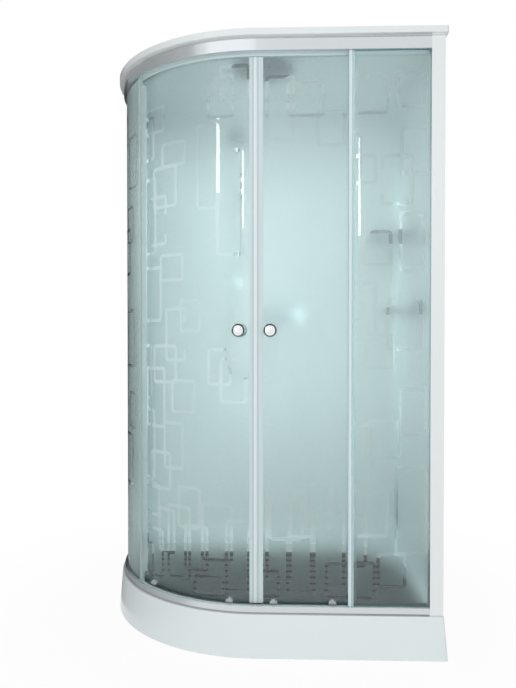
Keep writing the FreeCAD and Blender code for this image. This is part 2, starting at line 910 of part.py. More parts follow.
# Rails: bent aluminium with a slot for the fixed glass and a channel for the doors
slot_outer = fixed_outer - dim.glass_slot_gap
slot_inner = fixed_inner + dim.glass_slot_gap


def rail_band(outer, inner):
    return [band(outer, inner, profile_left, left_profile_front)]


bottom_rail = new_body("bottom_rail")
pad(bottom_rail, draw(
    bottom_rail, "body", "XY_Plane", rim_level, rail_band(dim.rail_outer, dim.rail_inner)),
    dim.bottom_rail_height)
pocket(bottom_rail, draw(
    bottom_rail, "glass_slot", "XY_Plane", sill_level, rail_band(slot_outer, slot_inner)), dim.glass_bite)
pocket(bottom_rail, draw(
    bottom_rail, "channel", "XY_Plane", sill_level, rail_band(dim.channel_outer, dim.channel_inner)),
    dim.bottom_rail_height - dim.channel_floor)

top_rail = new_body("top_rail")
pad(top_rail, draw(
    top_rail, "body", "XY_Plane", head_level, rail_band(dim.rail_outer, dim.rail_inner)),
    dim.top_rail_height)
pocket(top_rail, draw(
    top_rail, "glass_slot", "XY_Plane", head_level, rail_band(slot_outer, slot_inner)),
    dim.glass_bite * 2, upward=True)
pocket(top_rail, draw(
    top_rail, "channel", "XY_Plane", head_level, rail_band(dim.channel_outer, dim.channel_inner)),
    dim.top_rail_height - dim.rail_web, upward=True)
lip_level = head_level - dim.lip_drop
pad(top_rail, draw(
    top_rail, "leg", "XY_Plane", lip_level, rail_band(dim.channel_inner, dim.rail_inner)), dim.lip_drop)
pad(top_rail, draw(
    top_rail, "lip", "XY_Plane", lip_level, rail_band(dim.lip_edge, dim.rail_inner)), dim.lip_thickness)

# Fixed glass: bent on the left, flat on the right, let into the rails and profiles
fixed_low = sill_level - dim.glass_bite
fixed_high = head_level + dim.glass_bite
left_fixed_glass = new_body("left_fixed_glass")
left_glass_rear = left_profile_front + dim.profile_slot
left_fixed_sketch = draw(left_fixed_glass, "plan", "XY_Plane", fixed_low, [[
    (*on_bend(fixed_outer, dim.fixed_edge_angle), dim.plan_radius - fixed_outer, -1),
    (left + fixed_outer, bend_y),
    (left + fixed_outer, left_glass_rear),
    (left + fixed_inner, left_glass_rear),
    (left + fixed_inner, bend_y, dim.plan_radius - fixed_inner, 1),
    on_bend(fixed_inner, dim.fixed_edge_angle),
]])
pad(left_fixed_glass, left_fixed_sketch, fixed_high - fixed_low)

right_fixed_glass = new_body("right_fixed_glass")
right_fixed_sketch = draw(right_fixed_glass, "plan", "XY_Plane", fixed_low, [
    rectangle(fixed_edge_x, profile_left + dim.profile_slot, front + fixed_outer, front + fixed_inner)])
pad(right_fixed_glass, right_fixed_sketch, fixed_high - fixed_low)

# Seals on the fixed panels' free edges: a clip with a fin that reaches towards the door
door_outer = dim.door_glass_inset
door_inner = dim.door_glass_inset + dim.glass_thickness
clip_outer = fixed_outer - dim.seal_gap - dim.seal_leg
clip_inner = fixed_inner + dim.seal_gap + dim.seal_leg
seal_low = sill_level + dim.meeting_gap
seal_height = dim.glass_height - dim.meeting_gap * 2
fin_low = sill_level + dim.fin_end_gap
fin_height = dim.glass_height - dim.fin_end_gap * 2
fin_tip = door_outer - dim.fin_clearance
right_fixed_seal = new_body("right_fixed_seal")
right_clip = draw(right_fixed_seal, "clip", "XY_Plane", seal_low, [[
    (fixed_edge_x - dim.seal_bite, front + clip_outer),
    (fixed_edge_x + dim.seal_bite, front + clip_outer),
    (fixed_edge_x + dim.seal_bite, front + fixed_outer - dim.seal_gap),
    (fixed_edge_x - dim.seal_gap, front + fixed_outer - dim.seal_gap),
    (fixed_edge_x - dim.seal_gap, front + fixed_inner + dim.seal_gap),
    (fixed_edge_x + dim.seal_bite, front + fixed_inner + dim.seal_gap),
    (fixed_edge_x + dim.seal_bite, front + clip_inner),
    (fixed_edge_x - dim.seal_bite, front + clip_inner),
]])
pad(right_fixed_seal, right_clip, seal_height)
right_fin = draw(right_fixed_seal, "fin", "XY_Plane", fin_low, [rectangle(
    fixed_edge_x - dim.seal_bite, fixed_edge_x - dim.seal_bite + dim.fin_thickness,
    front + fixed_inner, front + fin_tip)])
pad(right_fixed_seal, right_fin, fin_height)


def bend_degrees(length, inset):
    """The angle that a length spans on the bend at an inset."""
    return length / (dim.plan_radius - inset) * as_size(180 / math.pi)


clip_angle = bend_degrees(dim.seal_bite, fixed_outer)
gap_angle = bend_degrees(dim.seal_gap, fixed_outer)
fin_angle = bend_degrees(dim.fin_thickness, fixed_outer)
nose_angle = dim.fixed_edge_angle - clip_angle
edge_angle = dim.fixed_edge_angle - gap_angle
left_fixed_seal = new_body("left_fixed_seal")
pad(left_fixed_seal, draw(
    left_fixed_seal, "nose", "XY_Plane", seal_low,
    [bend_band(clip_outer, clip_inner, nose_angle, edge_angle)]), seal_height)
for name, outer, inner in (
        ("outer_leg", clip_outer, fixed_outer - dim.seal_gap),
        ("inner_leg", fixed_inner + dim.seal_gap, clip_inner)):
    pad(left_fixed_seal, draw(
        left_fixed_seal, name, "XY_Plane", seal_low,
        [bend_band(outer, inner, nose_angle, dim.fixed_edge_angle + clip_angle)]), seal_height)
pad(left_fixed_seal, draw(
    left_fixed_seal, "fin", "XY_Plane", fin_low,
    [bend_band(fixed_inner, fin_tip, nose_angle, nose_angle + fin_angle)]), fin_height)

# Door glass: the left pane follows the bend, the right pane is flat
door_low = rim_level + dim.channel_floor + dim.door_end_gap
door_high = seat_level - dim.rail_web - dim.door_top_gap
wheel_level = lip_level + dim.lip_thickness + dim.wheel_seat_gap + dim.wheel_radius
guide_level = sill_level + dim.guide_rise
seam = bend_x
left_door_edge = bend_degrees(dim.seal_nose + dim.meeting_gap, door_outer)
right_door_edge = seam + dim.seal_nose + dim.meeting_gap
left_wheel_angles = [dim.left_wheel_front_angle, dim.left_wheel_rear_angle]
right_wheel_spots = [seam + dim.right_wheel_front, door_trailing_x - dim.right_wheel_end]
right_knob_x = seam + dim.right_knob_offset

left_pane = new_body("left_pane", node=False)
pad(left_pane, draw(
    left_pane, "plan", "XY_Plane", door_low,
    [bend_band(door_outer, door_inner, left_door_edge, dim.door_trailing_angle)]), door_high - door_low)


def radial_drill(name, angle, level, radius):
    """A drill that goes through the bent door from the bend's axis outwards."""
    drill = doc.addObject("Part::Cylinder", name)
    bind(drill, "Radius", radius)
    bind(drill, "Height", dim.plan_radius)
    turned = FreeCAD.Rotation(FreeCAD.Vector(0, 0, -1), angle.number)
    lying = FreeCAD.Rotation(FreeCAD.Vector(1, 0, 0), 90)
    base = FreeCAD.Vector(bend_x.number, bend_y.number, level.number)
    drill.Placement = FreeCAD.Placement(base, turned.multiply(lying))
    return drill


left_drills = [radial_drill("left_knob_drill", dim.left_knob_angle, dim.knob_height, dim.bush_radius)]
for index, angle in enumerate(left_wheel_angles):
    left_drills.append(radial_drill(f"left_hanger_drill_{index}", angle, wheel_level, dim.bush_radius))
    left_drills.append(radial_drill(f"left_guide_drill_{index}", angle, guide_level, dim.guide_pin))
cut("left_door_glass", left_pane, join("left_door_drills", left_drills, node=False))

right_door_glass = new_body("right_door_glass")
right_pane_holes = [(right_knob_x, dim.knob_height, dim.bush_radius)]
for spot in right_wheel_spots:
    right_pane_holes.append((spot, wheel_level, dim.bush_radius))
    right_pane_holes.append((spot, guide_level, dim.guide_pin))
right_pane = draw(
    right_door_glass, "face", "XZ_Plane", -(front + door_outer),
    [rectangle(right_door_edge, door_trailing_x, door_low, door_high)], right_pane_holes)
pad(right_door_glass, right_pane, dim.glass_thickness, downward=True)

# Magnetic seals: soft strips clipped on the doors' meeting edges
grip_outer = door_outer - dim.seal_gap - dim.seal_leg
grip_inner = door_inner + dim.seal_gap + dim.seal_leg
right_door_seal = new_body("right_door_seal")
right_grip = draw(right_door_seal, "plan", "XY_Plane", seal_low, [[
    (seam + dim.meeting_gap, front + grip_outer),
    (right_door_edge + dim.seal_bite, front + grip_outer),
    (right_door_edge + dim.seal_bite, front + door_outer - dim.seal_gap),
    (right_door_edge - dim.seal_gap, front + door_outer - dim.seal_gap),
    (right_door_edge - dim.seal_gap, front + door_inner + dim.seal_gap),
    (right_door_edge + dim.seal_bite, front + door_inner + dim.seal_gap),
    (right_door_edge + dim.seal_bite, front + grip_inner),
    (seam + dim.meeting_gap, front + grip_inner),
]])
pad(right_door_seal, right_grip, seal_height)

left_door_seal = new_body("left_door_seal")
grip_low = bend_degrees(dim.meeting_gap, door_outer)
grip_edge = left_door_edge - bend_degrees(dim.seal_gap, door_outer)
grip_high = left_door_edge + bend_degrees(dim.seal_bite, door_outer)
pad(left_door_seal, draw(
    left_door_seal, "nose", "XY_Plane", seal_low,
    [bend_band(grip_outer, grip_inner, grip_low, grip_edge)]), seal_height)
for name, outer, inner in (
        ("outer_leg", grip_outer, door_outer - dim.seal_gap),
        ("inner_leg", door_inner + dim.seal_gap, grip_inner)):
    pad(left_door_seal, draw(
        left_door_seal, name, "XY_Plane", seal_low, [bend_band(outer, inner, grip_low, grip_high)]),
        seal_height)

# Door fittings are turned about a line across the glass, at the bend's axis, then set round or along it
glass_face = dim.plan_radius - door_outer
glass_rear = dim.plan_radius - door_inner
inner_seat = glass_rear - dim.seat_gap


def set_on_left(item, angle, level):
    return place(item, bend_x, bend_y, level, (0, 0, -1), angle)


def set_on_right(item, x, level):
    return place(item, x, bend_y, level)


def turned(name, section, node=True):
    """A round piece across the glass; the section is (radius, distance in from the bend's axis)."""
    body = new_body(name, node)
    loop = [(radius, -distance) for radius, distance in section]
    revolve(body, draw(body, "section", "XY_Plane", 0, [loop]))
    return body


def hanger(name):
    shoulder = glass_rear - dim.shoulder_length
    wheel_end = shoulder - dim.wheel_width - dim.wheel_side_gap
    return turned(name, [
        (0, glass_face + dim.hanger_cap_depth),
        (dim.hanger_cap_radius, glass_face + dim.hanger_cap_depth),
        (dim.hanger_cap_radius, glass_face),
        (dim.bush_radius - dim.fit_gap, glass_face),
        (dim.bush_radius - dim.fit_gap, inner_seat),
        (dim.shoulder_radius, inner_seat),
        (dim.shoulder_radius, shoulder),
        (dim.axle_radius, shoulder),
        (dim.axle_radius, wheel_end),
        (dim.axle_head_radius, wheel_end),
        (dim.axle_head_radius, wheel_end - dim.axle_head_depth),
        (0, wheel_end - dim.axle_head_depth),
    ], node=False)


def wheel(name):
    near = glass_rear - dim.shoulder_length - dim.wheel_side_gap / 2
    far = near - dim.wheel_width
    bore = dim.axle_radius + dim.fit_gap
    return turned(name, [(bore, far), (dim.wheel_radius, far), (dim.wheel_radius, near), (bore, near)])


def guide(name):
    """A lobed cover on the outer face, a pin through the glass and a round shoe inside."""
    face = -glass_face - dim.guide_depth
    lobes = [
        cylinder(f"{name}_lobe_{index}", dim.guide_lobe, dim.guide_depth, x, face, 0, "y")
        for index, x in enumerate((-dim.guide_lobe_offset, dim.guide_lobe_offset))
    ]
    crown = cylinder(f"{name}_crown", dim.guide_crown, dim.guide_depth, 0, face, dim.guide_crown_rise, "y")
    pin_length = dim.guide_depth + dim.glass_thickness + dim.guide_shoe_depth
    pin = cylinder(f"{name}_pin", dim.guide_pin - dim.fit_gap, pin_length, 0, face, 0, "y")
    shoe = cylinder(f"{name}_shoe", dim.guide_shoe, dim.guide_shoe_depth, 0, -inner_seat, 0, "y")
    return join(name, [*lobes, crown, pin, shoe], node=False)


def knob(name, outside):
    """A round pull on a neck; the outer one carries the bolt through the glass."""
    seat = glass_face if outside else inner_seat
    away = 1 if outside else -1
    section = [
        (0, seat + away * (dim.knob_reach - dim.knob_dish)),
        (dim.knob_face, seat + away * (dim.knob_reach - dim.knob_dish)),
        (dim.knob_face + dim.knob_dish, seat + away * dim.knob_reach),
        (dim.knob_radius - dim.knob_edge, seat + away * dim.knob_reach),
        (dim.knob_radius, seat + away * (dim.knob_reach - dim.knob_edge)),
        (dim.knob_radius, seat + away * (dim.knob_reach - dim.knob_disc)),
        (dim.knob_neck, seat + away * (dim.knob_reach - dim.knob_disc)),
        (dim.knob_neck, seat),
    ]
    if outside:
        section += [(dim.knob_bolt, seat), (dim.knob_bolt, glass_rear), (0, glass_rear)]
    else:
        section += [(0, seat)]
    return turned(name, section)


for side, set_on, spots in (
        ("left", set_on_left, left_wheel_angles), ("right", set_on_right, right_wheel_spots)):
    for kind, make, level in (("hanger", hanger, wheel_level), ("guide", guide, guide_level)):
        pieces = [
            set_on(make(f"{side}_{kind}_{index}"), spot, level) for index, spot in enumerate(spots)]
        group(f"{side}_door_{kind}s", pieces)
for name, angle in zip(("left_front_wheel", "left_rear_wheel"), left_wheel_angles):
    set_on_left(wheel(name), angle, wheel_level)
for name, spot in zip(("right_front_wheel", "right_rear_wheel"), right_wheel_spots):
    set_on_right(wheel(name), spot, wheel_level)
for side, outside in (("outer", True), ("inner", False)):
    set_on_left(knob(f"left_{side}_knob", outside), dim.left_knob_angle, dim.knob_height)
    set_on_right(knob(f"right_{side}_knob", outside), right_knob_x, dim.knob_height)

# Door stops: rubber blocks in the top rail's channel, past the ends of the doors' travel
STOP_LENGTH = 6
STOP_HEIGHT = 24
stop_outer = dim.channel_outer
stop_inner = door_inner + dim.seal_leg
stop_top = seat_level - dim.rail_web
door_stops = new_body("door_stops")
door_stops.AllowCompound = True
stop_sketch = draw(door_stops, "plan", "XY_Plane", stop_top, [
    rectangle(profile_left - STOP_LENGTH, profile_left, front + stop_outer, front + stop_inner),
    rectangle(left + stop_outer, left + stop_inner, bend_y, bend_y + STOP_LENGTH),
])
pad(door_stops, stop_sketch, STOP_HEIGHT, downward=True)

# Roof: moulded shell with a fascia, a sloped shoulder and a raised crown
roof = new_body("roof")
pad(roof, draw(roof, "seat", "XY_Plane", seat_level, [outline(dim.roof_seat_inset)]), dim.roof_groove)
pad(roof, draw(roof, "fascia", "XY_Plane", fascia_level, [outline(dim.roof_inset)]), dim.fascia_height)
eave_inset = dim.roof_inset + dim.eave_step
slope_inset = eave_inset + dim.slope_run
slope_low = draw(roof, "slope_low", "XY_Plane", eave_level, [outline(eave_inset)])
slope_high = draw(roof, "slope_high", "XY_Plane", slope_level, [outline(slope_inset)])
loft(roof, "AdditiveLoft", slope_low, slope_high)
rear_room = dim.cabin_depth - dim.plan_radius
crown_corner = rear_room * dim.crown_corner_share


def crown_outline(grow):
    """The crown's plan; grow is how far it stands in from the crown's foot."""
    back_inset = rear_room * dim.crown_back_share + grow
    return outline(dim.crown_inset + grow, back_inset=back_inset, corner=crown_corner)


crown_low = draw(roof, "crown_low", "XY_Plane", slope_level, [crown_outline(as_size(0))])
crown_high = draw(roof, "crown_high", "XY_Plane", crown_level, [crown_outline(dim.crown_run)])
loft(roof, "AdditiveLoft", crown_low, crown_high)
ceiling_inset = dim.roof_seat_inset + dim.roof_seat_width
ceiling_level = slope_level - dim.roof_wall
ceiling_corner = dim.basin_corner
throat = draw(
    roof, "throat", "XY_Plane", seat_level,
    [outline(ceiling_inset, corner=dim.roof_corner, rear_corner=ceiling_corner)])
pocket(roof, throat, fascia_level - seat_level + dim.fascia_height - dim.roof_wall, upward=True)
cove_level = eave_level - dim.roof_wall
cove_low = draw(
    roof, "cove_low", "XY_Plane", cove_level,
    [outline(ceiling_inset, corner=dim.roof_corner, rear_corner=ceiling_corner)])
cove_inset = slope_inset + dim.roof_wall
cove_high = draw(
    roof, "cove_high", "XY_Plane", ceiling_level,
    [outline(cove_inset, corner=dim.roof_corner, rear_corner=ceiling_corner)])
loft(roof, "SubtractiveLoft", cove_low, cove_high)
dome_low = draw(
    roof, "dome_low", "XY_Plane", ceiling_level,
    [crown_outline(dim.roof_wall)])
dome_high = draw(
    roof, "dome_high", "XY_Plane", crown_level - dim.roof_wall,
    [crown_outline(dim.crown_run + dim.roof_wall)])
loft(roof, "SubtractiveLoft", dome_low, dome_high)
groove = draw(roof, "underside", "XY_Plane", seat_level, [
    outline(dim.roof_seat_inset + dim.roof_rib),
    outline(ceiling_inset - dim.roof_rib, corner=dim.roof_corner, rear_corner=ceiling_corner),
])
pocket(roof, groove, cove_level - seat_level, upward=True)
stem_hole = draw(
    roof, "stem_hole", "XY_Plane", crown_level,
    circles=[(dim.rain_x, dim.rain_y, dim.stem_radius + dim.fit_gap)])
pocket(roof, stem_hole, dim.roof_wall)

# Overhead shower: a wide disc on a stem that goes through the crown and is held by a nut
rain_head = new_body("rain_head")
rain_level = crown_level - dim.rain_drop
collar_level = crown_level - dim.roof_wall - dim.stem_collar_depth
rain_sketch = draw(rain_head, "section", "XZ_Plane", 0, [[
    (0, rain_level),
    (dim.rain_radius, rain_level),
    (dim.rain_radius, rain_level + dim.rain_rim),
    (dim.stem_collar, rain_level + dim.rain_rim + dim.rain_cone),
    (dim.stem_radius, rain_level + dim.rain_rim + dim.rain_cone),
    (dim.stem_radius, collar_level),
    (dim.stem_collar, collar_level),
    (dim.stem_collar, crown_level - dim.roof_wall),
    (dim.stem_radius, crown_level - dim.roof_wall),
    (dim.stem_radius, crown_level + dim.stem_top),
    (0, crown_level + dim.stem_top),
]])
revolve(rain_head, rain_sketch)
place(rain_head, dim.rain_x, dim.rain_y, 0)
rain_plate = new_body("rain_plate")
pad(rain_plate, draw(
    rain_plate, "plan", "XY_Plane", rain_level - dim.rain_plate_depth,
    circles=[(dim.rain_x, dim.rain_y, dim.rain_radius - dim.rain_plate_margin)]), dim.rain_plate_depth)
rain_nut = new_body("rain_nut")
pad(rain_nut, draw(
    rain_nut, "plan", "XY_Plane", crown_level, [hexagon(dim.rain_x, dim.rain_y, dim.rain_nut_radius)],
    [(dim.rain_x, dim.rain_y, dim.stem_radius + dim.fit_gap)]), dim.rain_nut_height)

# Slide bar: a round bar on two wall brackets
bar_y = wall_back - dim.bar_standoff
slide_bar = cylinder("slide_bar", dim.bar_radius, dim.bar_length, dim.bar_x, bar_y, dim.bar_bottom)
nodes["slide_bar"] = slide_bar
bracket_levels = [dim.bar_bottom + dim.bracket_offset, dim.bar_bottom + dim.bar_length - dim.bracket_offset]
bar_bore = cylinder(
    "bracket_bore", dim.bar_radius + dim.fit_gap, dim.bar_length, dim.bar_x, bar_y, dim.bar_bottom)
brackets = []
for index, level in enumerate(bracket_levels):
    post_start = bar_y - dim.bracket_radius
    post = cylinder(
        f"bracket_post_{index}", dim.bracket_radius, wall_back - post_start,
        dim.bar_x, post_start, level, "y")
    flange = cylinder(
        f"bracket_flange_{index}", dim.bracket_flange, dim.bracket_flange_depth,
        dim.bar_x, wall_back - dim.bracket_flange_depth, level, "y")
    solid = join(f"bracket_solid_{index}", [post, flange], node=False)
    brackets.append(cut(f"bracket_{index}", solid, bar_bore, node=False))
group("bar_brackets", brackets)

# Slider: a sleeve on the bar with a fork that carries the cradle
slider = new_body("slider")
sleeve_plan = draw(slider, "sleeve", "XY_Plane", -dim.slider_height / 2, circles=[
    (0, 0, dim.slider_radius), (0, 0, dim.bar_radius + dim.fit_gap)])
pad(slider, sleeve_plan, dim.slider_height)
yoke_back = -dim.bar_radius - dim.yoke_gap
yoke_front = yoke_back - dim.yoke_depth
fork_front = -dim.pivot_reach - dim.fork_nose
fork_plan = draw(slider, "fork", "XY_Plane", -dim.fork_height / 2, [[
    (-dim.fork_outer, fork_front),
    (-dim.fork_inner, fork_front),
    (-dim.fork_inner, yoke_front),
    (dim.fork_inner, yoke_front),
    (dim.fork_inner, fork_front),
    (dim.fork_outer, fork_front),
    (dim.fork_outer, yoke_back),
    (-dim.fork_outer, yoke_back),
]])
pad(slider, fork_plan, dim.fork_height)
pivot_hole = draw(
    slider, "pivot_hole", "YZ_Plane", -dim.fork_outer,
    circles=[(-dim.pivot_reach, 0, dim.pivot_pin + dim.fit_gap)])
pocket(slider, pivot_hole, dim.fork_outer * 2, upward=True)
place(slider, dim.bar_x, bar_y, dim.pivot_height)

# Cradle, hose cone, handle and head share one leaning axis through the pivot
pivot_y = bar_y - dim.pivot_reach
cradle = new_body("cradle")
ear_outer = dim.fork_inner - dim.cradle_gap
ear_inner = ear_outer - dim.ear_thickness
cradle_ring = draw(
    cradle, "ring", "XY_Plane", dim.cradle_low, circles=[(0, 0, ear_outer), (0, 0, dim.cradle_bore)])
pad(cradle, cradle_ring, dim.cradle_high - dim.cradle_low)
for side, low, high in (("left", -ear_outer, -ear_inner), ("right", ear_inner, ear_outer)):
    ear_plan = rectangle(low, high, -dim.ear_half, dim.ear_half)
    pad(cradle, draw(cradle, f"{side}_ear", "XY_Plane", -dim.ear_half, [ear_plan]),
        dim.ear_half + (dim.cradle_low + dim.cradle_high) / 2)
pad(cradle, draw(cradle, "right_pin", "YZ_Plane", ear_outer, circles=[(0, 0, dim.pivot_pin)]),
    dim.fork_outer - ear_outer)
pad(cradle, draw(cradle, "left_pin", "YZ_Plane", -ear_outer, circles=[(0, 0, dim.pivot_pin)]),
    dim.fork_outer - ear_outer, downward=True)


def lean(item):
    return place(item, dim.bar_x, pivot_y, dim.pivot_height, (1, 0, 0), dim.handset_tilt_angle)


lean(cradle)
hose_cone = new_body("hose_cone")
revolve(hose_cone, draw(hose_cone, "section", "XZ_Plane", 0, [[
    (0, 0),
    (dim.cone_nose, 0),
    (dim.cone_radius, dim.cone_chamfer),
    (dim.cone_radius, dim.cone_length),
    (0, dim.cone_length),
]]))
lean(hose_cone)

handle = new_body("handle", node=False)
handle_high = dim.cone_length + dim.handle_length
revolve(handle, draw(handle, "section", "XZ_Plane", 0, [[
    (0, dim.cone_length),
    (dim.handle_waist, dim.cone_length),
    (dim.handle_top, handle_high),
    (0, handle_high),
]]))
shower_head = new_body("shower_head", node=False)
revolve(shower_head, draw(shower_head, "section", "XZ_Plane", 0, [[
    (0, -dim.head_depth / 2),
    (dim.head_radius, -dim.head_depth / 2),
    (dim.head_radius, dim.head_depth / 2 - dim.head_edge),
    (dim.head_radius - dim.head_edge, dim.head_depth / 2),
    (0, dim.head_depth / 2),
]]))
head_reach = dim.head_radius - dim.head_overlap
head_out = -head_reach * cosine(dim.head_tilt_angle) - dim.head_offset * sine(dim.head_tilt_angle)
head_up = handle_high + head_reach * sine(dim.head_tilt_angle)
head_up = head_up - dim.head_offset * cosine(dim.head_tilt_angle)
place(shower_head, 0, head_out, head_up, (-1, 0, 0), dim.head_tilt_angle)
handset = join("handset", [handle, shower_head])
lean(handset)
head_x = dim.bar_x
head_y = pivot_y + head_out * cosine(dim.handset_tilt_angle) - head_up * sine(dim.handset_tilt_angle)
head_z = dim.pivot_height + head_out * sine(dim.handset_tilt_angle)
head_z = head_z + head_up * cosine(dim.handset_tilt_angle)
spray_plate = new_body("spray_plate")
spray_plan = draw(
    spray_plate, "plan", "XY_Plane", -dim.head_depth / 2 - dim.spray_depth,
    circles=[(0, 0, dim.spray_radius)])
pad(spray_plate, spray_plan, dim.spray_depth)
place(spray_plate, head_x, head_y, head_z, (-1, 0, 0), dim.head_tilt_angle - dim.handset_tilt_angle)

# Mixer: a round body on two wall unions, a lever on a swivel cap and a diverter on its left end
mixer_y = wall_back - dim.mixer_standoff
mixer_left = dim.mixer_x - dim.mixer_length / 2
barrel = cylinder(
    "mixer_barrel", dim.mixer_radius, dim.mixer_length, mixer_left, mixer_y, dim.mixer_height, "x")
cartridge = cylinder(
    "mixer_cartridge", dim.cartridge_radius, dim.cartridge_reach,
    dim.cartridge_x, mixer_y - dim.cartridge_reach, dim.mixer_height, "y")
outlet = cylinder(
    "mixer_outlet", dim.outlet_radius, dim.outlet_drop,
    dim.outlet_x, mixer_y, dim.mixer_height - dim.outlet_drop)
spindle = cylinder(
    "mixer_spindle", dim.cap_stem, dim.diverter_depth / 2,
    mixer_left - dim.diverter_depth / 2, mixer_y, dim.mixer_height, "x")
cap_face = mixer_y - dim.cartridge_reach
cap_spindle = cylinder(
    "cartridge_spindle", dim.cap_stem, dim.mixer_cap_depth / 2,
    dim.cartridge_x, cap_face - dim.mixer_cap_depth / 2, dim.mixer_height, "y")
union_start = wall_back - dim.rosette_depth - dim.union_length
stubs = [
    cylinder(
        f"inlet_stub_{index}", dim.union_radius, union_start - mixer_y,
        x, mixer_y, dim.mixer_height, "y")
    for index, x in enumerate(inlet_spots)
]
join("mixer_body", [barrel, cartridge, outlet, spindle, cap_spindle, *stubs])

unions = []
for index, x in enumerate(inlet_spots):
    union_nut = cylinder(
        f"union_nut_{index}", dim.union_radius, dim.union_length, x, union_start, dim.mixer_height, "y")
    rosette = cylinder(
        f"union_rosette_{index}", dim.rosette_radius, dim.rosette_depth,
        x, wall_back - dim.rosette_depth, dim.mixer_height, "y")
    tail = cylinder(
        f"union_tail_{index}", dim.inlet_thread, dim.wall_thickness + dim.inlet_length,
        x, wall_back, dim.mixer_height, "y")
    unions.append(join(f"union_{index}", [union_nut, rosette, tail], node=False))
group("mixer_unions", unions)

swivel_front = cap_face - dim.mixer_cap_gap
swivel_disc = cylinder(
    "swivel_disc", dim.mixer_cap_radius, dim.mixer_cap_depth,
    dim.cartridge_x, swivel_front - dim.mixer_cap_depth, dim.mixer_height, "y")
swivel_bore = cylinder(
    "swivel_bore", dim.cap_stem + dim.fit_gap, dim.mixer_cap_depth / 2,
    dim.cartridge_x, cap_face - dim.mixer_cap_depth / 2 - dim.mixer_cap_gap, dim.mixer_height, "y")
lever_front = swivel_front - dim.mixer_cap_depth
lug_reach = dim.lever_back_gap + dim.lever_thickness + dim.lever_pin / 2
lug_spread = dim.lever_width / 2 + dim.lever_slot_gap
lugs = []
for side, x in (
        ("left", dim.cartridge_x - lug_spread - dim.lever_thickness),
        ("right", dim.cartridge_x + lug_spread)):
    lug = doc.addObject("Part::Box", f"swivel_lug_{side}")
    bind(lug, "Length", dim.lever_thickness)
    bind(lug, "Width", lug_reach)
    bind(lug, "Height", dim.lever_width)
    lugs.append(place(lug, x, lever_front - lug_reach, dim.mixer_height - dim.lever_width / 2))
lever_pin_y = lever_front - dim.lever_back_gap - dim.lever_thickness / 2
pin_bore = cylinder(
    "lever_pin_bore", dim.lever_pin + dim.fit_gap, dim.mixer_cap_radius * 2,
    dim.cartridge_x - dim.mixer_cap_radius, lever_pin_y, dim.mixer_height, "x")
swivel_solid = join("swivel_solid", [swivel_disc, *lugs], node=False)
swivel_tools = join("swivel_tools", [swivel_bore, pin_bore], node=False)
cut("mixer_cap", swivel_solid, swivel_tools)

lever_plate = doc.addObject("Part::Box", "lever_plate")
bind(lever_plate, "Length", dim.lever_width)
bind(lever_plate, "Width", dim.lever_thickness)
bind(lever_plate, "Height", dim.lever_length)
place(
    lever_plate, dim.cartridge_x - dim.lever_width / 2, lever_pin_y - dim.lever_thickness / 2,
    dim.mixer_height + dim.lever_thickness / 2 - dim.lever_length)
pin_length = (lug_spread + dim.lever_thickness) * 2
lever_pin = cylinder(
    "lever_pivot_pin", dim.lever_pin, pin_length,
    dim.cartridge_x - pin_length / 2, lever_pin_y, dim.mixer_height, "x")
join("mixer_lever", [lever_plate, lever_pin])

diverter_end = mixer_left - dim.diverter_gap
diverter_disc = cylinder(
    "diverter_disc", dim.diverter_radius, dim.diverter_depth,
    diverter_end - dim.diverter_depth, mixer_y, dim.mixer_height, "x")
diverter_bore = cylinder(
    "diverter_bore", dim.cap_stem + dim.fit_gap, dim.diverter_depth / 2,
    diverter_end - dim.diverter_depth / 2, mixer_y, dim.mixer_height, "x")
cut("diverter_knob", diverter_disc, diverter_bore)

nut_level = dim.mixer_height - dim.outlet_drop - dim.hose_nut_length
hose_nut = new_body("hose_nut")
pad(hose_nut, draw(
    hose_nut, "plan", "XY_Plane", nut_level, [hexagon(dim.outlet_x, mixer_y, dim.hose_nut_radius)]),
    dim.hose_nut_length)

# Hose: hangs from the cone's nose in a loop and comes up to the nut under the mixer.
# The points between the ends are chosen along its hanging line.
HOSE_LINE = [
    (-140.5, 322, 1640),
    (-143, 323, 1540),
    (-150, 326, 1420),
    (-161, 330, 1300),
    (-176, 334, 1180),
    (-193, 338, 1070),
    (-200, 341, 975),
    (-177, 343, 905),
    (-120, 344, 876),
    (-55, 347, 900),
    (-17, 354, 962),
    (-6.5, 367, 1042),
]
RUN_SHARE = 0.45
hose_top = FreeCAD.Vector(dim.bar_x.number, pivot_y.number, (dim.pivot_height - dim.hose_start_gap).number)
hose_end = FreeCAD.Vector(dim.outlet_x.number, mixer_y.number, (nut_level - dim.hose_end_gap).number)
hose_points = [hose_top, *[FreeCAD.Vector(*point) for point in HOSE_LINE], hose_end]


def rounded_path(points):
    """Straight runs joined by tangent arcs as large as the runs allow."""
    edges = []
    radii = []
    last = points[0]
    for before, corner, after in zip(points, points[1:], points[2:]):
        inward = (corner - before).normalize()
        outward = (after - corner).normalize()
        half_turn = inward.getAngle(outward) / 2
        setback = RUN_SHARE * min((corner - before).Length, (after - corner).Length)
        radius = setback / math.tan(half_turn)
        start = corner - inward * setback
        end = corner + outward * setback
        to_centre = (outward - inward).normalize()
        centre = corner + to_centre * (radius / math.cos(half_turn))
        edges.append(Part.LineSegment(last, start).toShape())
        edges.append(Part.Arc(start, centre - to_centre * radius, end).toShape())
        radii.append(radius)
        last = end
    edges.append(Part.LineSegment(last, points[-1]).toShape())
    return Part.Wire(edges), radii


